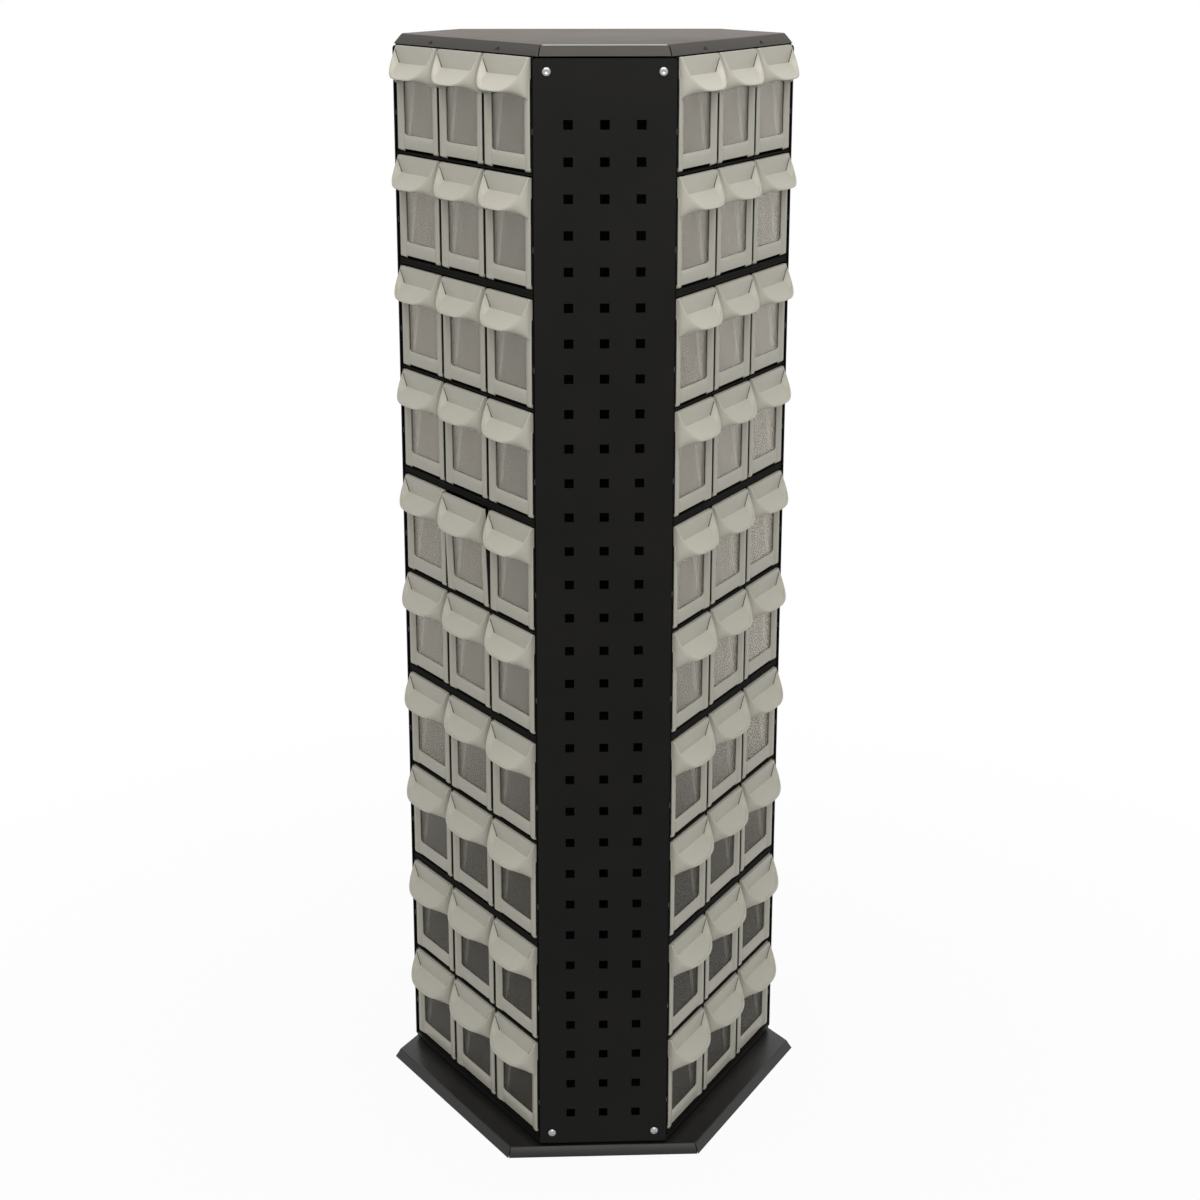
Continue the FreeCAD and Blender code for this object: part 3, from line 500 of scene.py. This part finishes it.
def bump(tree, shader, source, strength, distance):
    made = tree.nodes.new("ShaderNodeBump")
    made.inputs["Strength"].default_value = strength
    made.inputs["Distance"].default_value = distance
    tree.links.new(source, made.inputs["Height"])
    tree.links.new(made.outputs["Normal"], shader.inputs["Normal"])


def math_node(tree, kind, *values):
    """Output of a maths node; each value is a number or another node's output."""
    made = tree.nodes.new("ShaderNodeMath")
    made.operation = kind
    for socket, value in zip(made.inputs, values):
        if isinstance(value, (int, float)):
            socket.default_value = value
        else:
            tree.links.new(value, socket)
    return made.outputs[0]


def own_place(tree):
    """The object's own x, y and z, in metres."""
    where = tree.nodes.new("ShaderNodeTexCoord")
    split = tree.nodes.new("ShaderNodeSeparateXYZ")
    tree.links.new(where.outputs["Object"], split.inputs[0])
    return split.outputs


def within(tree, value, low, high):
    """1 between two values given in millimetres."""
    above = math_node(tree, "GREATER_THAN", value, low * MM)
    return math_node(tree, "MULTIPLY", above, math_node(tree, "LESS_THAN", value, high * MM))


def srgb(r, g, b):
    """Linear colour of an sRGB colour given from 0 to 255."""
    def line(v):
        v /= 255
        return v / 12.92 if v <= 0.04045 else ((v + 0.055) / 1.055) ** 2.4
    return (line(r), line(g), line(b))


# The second colour is painted shade, a dark colour that stands in for the shade in the slits beside the label
# panels.
WARM_SHEEN, SLIT_PAINTED_SHADE = (1.0, 0.66, 0.4), srgb(40, 39, 35)
TUB_TINT, TUB_HAZE = srgb(104, 101, 93), srgb(240, 240, 236)


def powder_coat(name, dark, light, rough, gloss, tint=(1.0, 1.0, 1.0), sheen=0.0):
    """Fine-textured powder coat with slight unevenness in tone."""
    made, tree, shader = material(name)
    shader.inputs["Specular IOR Level"].default_value = gloss
    shader.inputs["Specular Tint"].default_value = (*tint, 1.0)
    shader.inputs["Sheen Weight"].default_value = sheen
    shader.inputs["Sheen Roughness"].default_value = 0.3
    shader.inputs["Sheen Tint"].default_value = (*WARM_SHEEN, 1.0)
    broad = noise(tree, 9.0, 5.0, 0.6)
    tree.links.new(ramp(tree, broad, [(0.3, dark), (0.7, light)]), shader.inputs["Base Color"])
    fine = noise(tree, 900.0, 3.0, 0.6)
    tree.links.new(ramp(tree, broad, [(0.25, grey(rough - 0.05)), (0.75, grey(rough + 0.06))]),
                   shader.inputs["Roughness"])
    bump(tree, shader, fine, 0.12, 0.0004)
    return made


def moulded(name, dark, light, rough, gloss, grain=0.08):
    """Moulded plastic with a faint flow pattern and fine grain."""
    made, tree, shader = material(name)
    shader.inputs["Specular IOR Level"].default_value = gloss
    flow = noise(tree, 14.0, 4.0, 0.55, (1.0, 1.0, 2.5))
    tree.links.new(ramp(tree, flow, [(0.3, dark), (0.72, light)]), shader.inputs["Base Color"])
    tree.links.new(ramp(tree, flow, [(0.3, grey(rough - 0.05)), (0.7, grey(rough + 0.06))]),
                   shader.inputs["Roughness"])
    bump(tree, shader, noise(tree, 1400.0, 2.0), grain, 0.0003)
    return made


def rib_haze(tree):
    """1 along the divider ribs on the side walls, falling to 0 beside them and towards their ends."""
    x, y, z = own_place(tree)
    line = math_node(tree, "MULTIPLY_ADD", z, RIB_LEAN, rib_depth(0.0) * MM)
    off = math_node(tree, "ABSOLUTE", math_node(tree, "SUBTRACT", y, line))
    near = math_node(tree, "SUBTRACT", 1.0, math_node(tree, "DIVIDE", off, 3.0 * MM))
    side = math_node(tree, "GREATER_THAN", math_node(tree, "ABSOLUTE", x), (TUB_HALF - TUB_WALL - 1.0) * MM)
    end = math_node(tree, "ABSOLUTE", math_node(tree, "SUBTRACT", z, 52.0 * MM))
    fade = math_node(tree, "SUBTRACT", 1.0, math_node(tree, "DIVIDE", end, 50.0 * MM))
    ends = math_node(tree, "MINIMUM", math_node(tree, "MULTIPLY", fade, 2.2), 1.0)
    both = math_node(tree, "MULTIPLY", math_node(tree, "MAXIMUM", near, 0.0), side)
    return math_node(tree, "MULTIPLY", both, math_node(tree, "MAXIMUM", ends, 0.0))


def clear_plastic():
    """Clear styrene of the tubs: see-through, glossy, faintly streaked from moulding, hazy at the ribs."""
    made, tree, shader = material("tub_plastic_clear")
    shader.inputs["IOR"].default_value = 2.0
    streak = noise(tree, 7.0, 3.0, 0.5, (4.0, 4.0, 0.8))
    haze = rib_haze(tree)
    tree.links.new(ramp(tree, haze, [(0.0, TUB_TINT), (1.0, TUB_HAZE)]), shader.inputs["Base Color"])
    tree.links.new(ramp(tree, streak, [(0.3, grey(0.4)), (0.75, grey(0.48))]), shader.inputs["Roughness"])
    through = tree.nodes.new("ShaderNodeBsdfTransparent")
    through.inputs["Color"].default_value = (0.97, 0.965, 0.95, 1.0)
    mix = tree.nodes.new("ShaderNodeMixShader")
    tree.links.new(math_node(tree, "MULTIPLY_ADD", haze, 0.7, 0.2), mix.inputs[0])
    tree.links.new(through.outputs[0], mix.inputs[1])
    tree.links.new(shader.outputs[0], mix.inputs[2])
    tree.links.new(mix.outputs[0], tree.nodes["Material Output"].inputs["Surface"])
    return made


def steel(name, tone, rough, scale):
    """Bright metal with fine brushing."""
    made, tree, shader = material(name)
    shader.inputs["Metallic"].default_value = 1.0
    brushed = noise(tree, scale, 3.0, 0.6, (1.0, 1.0, 0.15))
    tree.links.new(ramp(tree, brushed, [(0.3, grey(tone * 0.85)), (0.7, grey(tone))]),
                   shader.inputs["Base Color"])
    tree.links.new(ramp(tree, brushed, [(0.3, grey(rough - 0.06)), (0.7, grey(rough + 0.08))]),
                   shader.inputs["Roughness"])
    return made


def bin_plastic():
    """Grey plastic of the bin fronts, with painted shade: a dark band on the scoop's cheeks beside the label
    panel's ends stands in for the shade in the slits there.
    """
    made = moulded("bin_plastic_grey", srgb(183, 180, 167), srgb(192, 189, 176), 0.36, 0.22, 0.02)
    tree = made.node_tree
    colour = tree.nodes["Principled BSDF"].inputs["Base Color"]
    x, y, z = own_place(tree)
    # Painted shade: a band on the cheeks just in front of the label panel's ends is mixed towards the dark
    # colour to stand in for the shade in the slits.
    ends = within(tree, math_node(tree, "ABSOLUTE", x), FLOOR_HALF - 1.5, SCOOP_HALF - SCOOP_WALL - 0.4)
    deep, tall = within(tree, y, -SLIT_FAR, -SLIT_NEAR), within(tree, z, SLIT_FOOT, SLIT_TOP)
    slit_shade_mask = math_node(tree, "MULTIPLY", math_node(tree, "MULTIPLY", ends, deep), tall)
    mix = tree.nodes.new("ShaderNodeMix")
    mix.data_type = "RGBA"
    tree.links.new(slit_shade_mask, mix.inputs["Factor"])
    tree.links.new(colour.links[0].from_socket, mix.inputs["A"])
    mix.inputs["B"].default_value = (*SLIT_PAINTED_SHADE, 1.0)
    tree.links.new(mix.outputs["Result"], colour)
    return made


LOOKS = {
    "powder_black": powder_coat("powder_coat_black", srgb(14, 13, 12), srgb(20, 19, 17), 0.4, 0.12),
    "cap_black": powder_coat("powder_coat_satin", srgb(35, 33, 30), srgb(43, 40, 36), 0.48, 0.42,
                             (1.0, 0.94, 0.86), 0.08),
    "base_black": powder_coat("powder_coat_base", srgb(19, 18, 16), srgb(26, 25, 23), 0.33, 0.34),
    "housing_black": moulded("housing_plastic_black", srgb(18, 18, 16), srgb(26, 25, 23), 0.55, 0.02),
    "bin_grey": bin_plastic(),
    "tub_clear": clear_plastic(),
    "bright_steel": steel("bright_steel", 0.4, 0.24, 240.0),
    "zinc_steel": steel("zinc_steel", 0.42, 0.38, 160.0),
    # Painted highlight: bright steel for the strips on the cap's narrow folds, in place of the light that the
    # folds catch.
    "fold_highlight_steel": steel("fold_highlight_steel", 0.42, 0.35, 160.0),
    "dull_steel": steel("dull_steel", 0.04, 0.5, 160.0),
}


def dress(obj, look):
    obj.data.materials.clear()
    obj.data.materials.append(LOOKS[look])


# Pieces

node_slots = {item["node"]: item["material_slot"] for item in frame["record"]["subparts"]}
for name, obj in nodes.items():
    dress(obj, "dull_steel" if name == "housing_clips" else node_slots[name])


def piece(name, mesh, slot, matrix, body, replaced=None, look=None):
    """Object in the scene that rides on a body and, if told so, takes a CAD node's place."""
    obj = bpy.data.objects.new(name, mesh)
    bpy.context.scene.collection.objects.link(obj)
    if not mesh.materials:
        mesh.materials.append(LOOKS[look or slot])
    obj.matrix_world = matrix
    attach(obj, body)
    if replaced:
        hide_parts(replaced)
    return obj


def face_matrix(side, x, y, z):
    """Place on a wide face: x along it, y inward from the bin plane, z up, in millimetres."""
    turn = Matrix.Rotation(math.radians(FACE_TURNS[side]), 4, "Z")
    return turn @ Matrix.Translation(Vector((x, y - FACE_PLANE, z)) * MM)


def panel_matrix(side, x, y, z):
    """Place on a narrow face: x along it, y inward from the panel's outer side, z up, in millimetres."""
    turn = Matrix.Rotation(math.radians(PANEL_TURNS[side]), 4, "Z")
    return turn @ Matrix.Translation(Vector((x, y - PANEL_PLANE, z)) * MM)


# Folded sheet: copies of the base tray and the cap with rounded folds and eased edges

SHEET_FOLD, SHEET_EASE = 1.2, 0.4


def folded_copy(node):
    """Copy of a CAD sheet with its folds rounded and its cut edges eased; short edges stay as they are."""
    mesh = nodes[node].data.copy()
    mesh.name = node + "_folded"
    work = bmesh.new()
    work.from_mesh(mesh)
    bmesh.ops.remove_doubles(work, verts=work.verts, dist=1e-5)
    bmesh.ops.dissolve_limit(work, angle_limit=math.radians(1.0), verts=work.verts, edges=work.edges)
    for low, high, width, steps in ((20, 80, SHEET_FOLD, 4), (80, 170, SHEET_EASE, 2)):
        picked = [e for e in work.edges if len(e.link_faces) == 2
                  and low < math.degrees(e.calc_face_angle()) <= high and e.calc_length() > 30 * MM]
        bmesh.ops.bevel(work, geom=picked, offset=width * MM, segments=steps, profile=0.5, affect="EDGES")
    work.to_mesh(mesh)
    work.free()
    shade(mesh, 30.0)
    mesh.materials.clear()
    return mesh


for node, body, look in (("base_tray", "base", "base_black"), ("top_cap", "tower", "cap_black")):
    piece(f"{node}_folded", folded_copy(node), "powder_black", Matrix(), body, node, look)


def tab_mesh(half, low, high, proud):
    """Small three-cornered tab pressed out of a sheet or moulded on a seam."""
    shape = Shape()
    ring = [(-half, low), (half, low), (half * 0.18, high), (-half * 0.18, high)]
    shape.grid([[(x, y, z) for x, z in ring] for y in (0.6, -proud)], loop=True, ends=True)
    return shape.mesh("tab_mesh")


TAB_REACH, TAB_SHARE = 74.0, 0.62
CAP_TOP, CAP_DROP, CAP_BEVEL, CAP_INSET, CAP_INSET_NARROW = 1273.6, 11.2, 8.1, 10.9, 7.8
CAP_FOLD = 2 / math.sqrt(3) * (2 * (FACE_PLANE - CAP_INSET) - (PANEL_PLANE - CAP_INSET_NARROW))
CAP_TAB = tab_mesh(4.2, -1.6, 1.9, 0.5)
for side in FACE_TURNS:
    for tag, x in (("a", -TAB_REACH), ("b", TAB_REACH)):
        place = face_matrix(side, x, CAP_INSET - TAB_SHARE * CAP_BEVEL, CAP_TOP - TAB_SHARE * CAP_DROP)
        lean = Matrix.Rotation(-math.atan2(CAP_BEVEL, CAP_DROP), 4, "X")
        piece(f"cap_tab_{side}_{tag}", CAP_TAB, "powder_black", place @ lean, "tower", "top_cap")


def fold_highlight_mesh():
    """Strip of bright steel along the fold of a narrow flange, a painted highlight that stands in for the
    light the rounded fold catches.
    """
    shape = Shape()
    ring = [(0.4, 0.03), (0.1, 0.08), (-0.1, 0.02), (-0.46, -0.5), (-0.34, -0.6), (0.1, -0.1), (0.4, -0.1)]
    half = CAP_FOLD / 2 - 2.0
    places = (-half, -half / 3, half / 3, half)
    shape.grid([[(x, y, z) for y, z in ring] for x in places], loop=True, ends=True)
    return shape.mesh("fold_highlight_mesh", sharp=60.0)


# Painted highlight: a bright steel strip along each narrow flange's fold stands in for the light the fold
# catches.
FOLD_HIGHLIGHT = fold_highlight_mesh()
for side in PANEL_TURNS:
    piece(f"cap_fold_highlight_{side}", FOLD_HIGHLIGHT, "zinc_steel", panel_matrix(side, 0, CAP_INSET_NARROW, CAP_TOP),
          "tower", "top_cap", "fold_highlight_steel")


# Panel screws: button heads with a hexagon socket

SCREW_HEAD = [(0.0, 4.7), (-0.25, 4.8), (-0.9, 4.8), (-1.5, 4.6), (-2.05, 4.15), (-2.5, 3.5), (-2.72, 2.95),
              (-2.8, 2.75)]
SCREW_TIP = [(8.0, 1.9), (7.8, 2.3)]
THREAD_CREST, THREAD_ROOT, THREAD_START, THREAD_STEP, THREAD_TURNS = 2.5, 2.25, 7.5, 0.4, 18
SOCKET, SOCKET_HALF = [(-2.75, 1.0), (-1.1, 1.0), (-0.9, 0.85), (-0.7, 0.05)], 2.25
SCREW_STEPS = 36


def screw_mesh():
    """Screw from its tip over the thread and the head, then down into the socket."""
    shape = Shape()
    thread = [(THREAD_START - THREAD_STEP * k, THREAD_CREST if k % 2 else THREAD_ROOT)
              for k in range(THREAD_TURNS)]
    turns = [math.tau * j / SCREW_STEPS for j in range(SCREW_STEPS)]
    rows = []
    for y, radius in SCREW_TIP + thread + [(0.05, THREAD_CREST)] + SCREW_HEAD:
        rows.append([(radius * math.cos(a), y, radius * math.sin(a)) for a in turns])
    for y, share in SOCKET:
        ring = []
        for a in turns:
            radius = share * SOCKET_HALF / math.cos((a + math.pi / 6) % (math.pi / 3) - math.pi / 6)
            ring.append((radius * math.cos(a), y, radius * math.sin(a)))
        rows.append(ring)
    shape.grid(rows, loop=True, ends=True)
    return shape.mesh("panel_screw_mesh", sharp=40.0)


SCREW, SCREW_REACH, SCREW_MARGIN = screw_mesh(), 60.0, 13.2
for side in PANEL_TURNS:
    for level, z in (("low", PANEL_FOOT + SCREW_MARGIN), ("high", PANEL_TOP - SCREW_MARGIN)):
        for tag, x in (("a", -SCREW_REACH), ("b", SCREW_REACH)):
            place = panel_matrix(side, x, 0, z)
            piece(f"screw_{side}_{level}_{tag}", SCREW, "bright_steel", place, "tower", "panel_screws")


# Housings: five on each wide face

def roof_mesh():
    """Roof of the top housing, cut back under the cap's flange."""
    shape = Shape()
    half, near, far = HOUSING_X[-1], ROOF_RELIEF, HOUSING_REAR
    ring = [(-half, near), (half, near), (half, far), (-half, far)]
    shape.grid([[(x, y, z) for x, y in ring] for z in HOUSING_Z[-2:]], loop=True, ends=True)
    return shape.mesh("housing_roof_mesh")


HOUSING, OPEN_HOUSING, ROOF = housing_mesh(True), housing_mesh(False), roof_mesh()
SEAM_TAB = tab_mesh(2.6, -0.4, 1.9, 0.45)
for side in FACE_TURNS:
    node = f"bin_housings_{side}"
    for module in range(MODULES):
        z = FLOOR_TOP + module * HOUSING_HEIGHT
        top = module == MODULES - 1
        mesh, place = OPEN_HOUSING if top else HOUSING, face_matrix(side, 0, 0, z)
        piece(f"housing_{side}_m{module + 1}", mesh, "housing_black", place, "tower", node)
        if top:
            piece(f"housing_roof_{side}", ROOF, "housing_black", place, "tower", node)
            continue
        for tag, x in (("a", -TAB_REACH), ("b", TAB_REACH)):
            piece(f"seam_tab_{side}_m{module + 1}_{tag}", SEAM_TAB, "housing_black",
                  face_matrix(side, x, HOUSING_FRONT, z + HOUSING_HEIGHT), "tower", node)


# Bins: each CAD bin node is replaced by its grey fronts and clear tubs

def row_place(number):
    """Height of a row's feet; row 1 is the top one."""
    module, upper = MODULES - 1 - (number - 1) // 2, number % 2 == 1
    return FLOOR_TOP + module * HOUSING_HEIGHT + FOOT_RISE + (ROW_PITCH if upper else 0.0)


# In the photo one tub stands higher than the others and one bin is ajar: side, row, column
RAISED, RAISED_LIFT = ("left", 3, 1), 5.5
AJAR, AJAR_TILT = ("left", 5, 2), 2.2
FRONT, TUB, RAISED_TUB = front_mesh(), tub_mesh(), tub_mesh(RAISED_LIFT)
SINGLE_ROWS, COLUMNS = 2, (1, 2, 3)
WINDOWS = bpy.data.collections.new("windows")


def bin_pieces(side, number, columns, node):
    """Fronts and tubs of one CAD bin node, which holds one bin or a row of three."""
    body = node.replace("tilt_", "")
    for column in columns:
        tag = f"{side}_r{number:02d}_c{column}"
        matrix = face_matrix(side, (column - 2) * BIN_PITCH, 0, row_place(number))
        tub = RAISED_TUB if (side, number, column) == RAISED else TUB
        if (side, number, column) == AJAR:
            pivot = Matrix.Translation(Vector((0, PIVOT_Y, PIVOT_Z)) * MM)
            matrix = matrix @ pivot @ Matrix.Rotation(math.radians(AJAR_TILT), 4, "X") @ pivot.inverted()
        piece(f"bin_front_{tag}", FRONT, "bin_grey", matrix, body, node)
        WINDOWS.objects.link(piece(f"bin_tub_{tag}", tub, "tub_clear", matrix, body, node))


for side in FACE_TURNS:
    for number in range(1, 2 * MODULES + 1):
        if number <= SINGLE_ROWS:
            for column in COLUMNS:
                bin_pieces(side, number, (column,), f"tilt_bin_{side}_r{number:02d}_c{column}")
        else:
            bin_pieces(side, number, COLUMNS, f"tilt_bin_row_{side}_r{number:02d}")


# Stage: floor, white surroundings, lamps and camera, in metres

def seen_directly(tree):
    """1 for rays that come from the camera, a mirror or a clear piece, 0 for rays that light the object."""
    path = tree.nodes.new("ShaderNodeLightPath")
    total = path.outputs["Is Camera Ray"]
    for kind in ("Is Glossy Ray", "Is Transmission Ray"):
        total = math_node(tree, "MAXIMUM", total, path.outputs[kind])
    return total


def stage_material():
    """Pale floor that keeps the object's shadow near it and turns into the white surroundings further off."""
    made, tree, shader = material("stage_floor")
    shader.inputs["Base Color"].default_value = (0.45, 0.45, 0.44, 1.0)
    shader.inputs["Roughness"].default_value = 0.9
    shader.inputs["Specular IOR Level"].default_value = 0.1
    where = tree.nodes.new("ShaderNodeTexCoord")
    away = tree.nodes.new("ShaderNodeVectorMath")
    away.operation = "LENGTH"
    tree.links.new(where.outputs["Object"], away.inputs[0])
    fade = tree.nodes.new("ShaderNodeMapRange")
    for socket, value in (("From Min", 0.25), ("From Max", 1.4), ("To Min", 0.95), ("To Max", 1.0)):
        fade.inputs[socket].default_value = value
    tree.links.new(away.outputs["Value"], fade.inputs["Value"])
    share = math_node(tree, "MULTIPLY", fade.outputs["Result"], seen_directly(tree))
    white = tree.nodes.new("ShaderNodeEmission")
    mix = tree.nodes.new("ShaderNodeMixShader")
    tree.links.new(share, mix.inputs[0])
    tree.links.new(shader.outputs[0], mix.inputs[1])
    tree.links.new(white.outputs[0], mix.inputs[2])
    tree.links.new(mix.outputs[0], tree.nodes["Material Output"].inputs["Surface"])
    return made


def add_floor():
    mesh = bpy.data.meshes.new("stage_floor")
    reach, below = 30.0, 0.0005
    corners = [(-reach, -reach, 0), (reach, -reach, 0), (reach, reach, 0), (-reach, reach, 0)]
    mesh.from_pydata(corners, [], [(0, 1, 2, 3)])
    mesh.materials.append(stage_material())
    floor = bpy.data.objects.new("stage_floor", mesh)
    floor.location.z = -below
    bpy.context.scene.collection.objects.link(floor)


LIT_BY_WORLD = 0.5


def add_world():
    """White surroundings, dimmer where they light the object than where they are seen."""
    world = bpy.data.worlds.new("studio")
    bpy.context.scene.world = world
    world.use_nodes = True
    tree = world.node_tree
    tree.nodes.clear()
    out = tree.nodes.new("ShaderNodeOutputWorld")
    mix = tree.nodes.new("ShaderNodeMixShader")
    tree.links.new(seen_directly(tree), mix.inputs[0])
    for socket, strength in ((mix.inputs[1], LIT_BY_WORLD), (mix.inputs[2], 1.0)):
        white = tree.nodes.new("ShaderNodeBackground")
        white.inputs["Color"].default_value = (1.0, 1.0, 1.0, 1.0)
        white.inputs["Strength"].default_value = strength
        tree.links.new(white.outputs[0], socket)
    tree.links.new(mix.outputs[0], out.inputs["Surface"])


def add_light(name, spot, aim, size, power, colour=(1.0, 1.0, 1.0)):
    """Rectangular lamp at a spot, turned to an aim and hidden from the camera."""
    data = bpy.data.lights.new(name, "AREA")
    data.shape = "RECTANGLE"
    data.size, data.size_y = size
    data.energy = power
    data.color = colour
    obj = bpy.data.objects.new(name, data)
    obj.location = spot
    obj.rotation_euler = (Vector(aim) - Vector(spot)).to_track_quat("-Z", "Y").to_euler()
    obj.visible_camera = False
    bpy.context.scene.collection.objects.link(obj)
    return obj


def add_camera():
    """Camera fitted to the photo."""
    data = bpy.data.cameras.new("camera")
    data.sensor_width = 36.0
    data.lens = 65.054
    data.shift_y = -0.04
    data.clip_start, data.clip_end = 0.05, 100.0
    cam = bpy.data.objects.new("camera", data)
    yaw, pitch, roll = math.radians(2.584), math.radians(15.978), math.radians(-0.075)
    forward = Vector((math.sin(yaw) * math.cos(pitch), math.cos(yaw) * math.cos(pitch), -math.sin(pitch)))
    spin = Matrix.Rotation(-roll, 3, "Z").to_quaternion()
    cam.location = (-0.1066, -2.4834, 1.3851)
    cam.rotation_mode = "QUATERNION"
    cam.rotation_quaternion = forward.to_track_quat("-Z", "Y") @ spin
    bpy.context.scene.collection.objects.link(cam)
    bpy.context.scene.camera = cam


def add_lamps():
    """Lamp above, in front and behind, and a strip at each side that lights the clear tubs alone."""
    middle, window = 0.8, 0.66
    large, strip_size, strip_tint = (2.6, 2.2), (0.5, 1.26), (1.0, 0.94, 0.83)
    add_light("overhead", (0.0, -0.75, 2.15), (0, -0.3, 0.9), (1.5, 1.0), 11.8)
    add_light("front", (0.2, -3.6, 2.5), (0, 0, middle), large, 43.0)
    rear = add_light("rear", (0.5, 3.4, 2.7), (0, 0, middle), large, 34.0)
    rear.visible_glossy = False
    for name, x, y, aim, power in (("left_strip", -1.008, 0.429, -0.1515, 11.0),
                                   ("right_strip", 0.959, 0.502, 0.1515, 13.0)):
        strip = add_light(name, (x, y, window), (aim, -0.0875, window), strip_size, power, strip_tint)
        strip.light_linking.receiver_collection = WINDOWS


bpy.context.scene.view_settings.view_transform = "Standard"
add_floor()
add_world()
add_lamps()
add_camera()
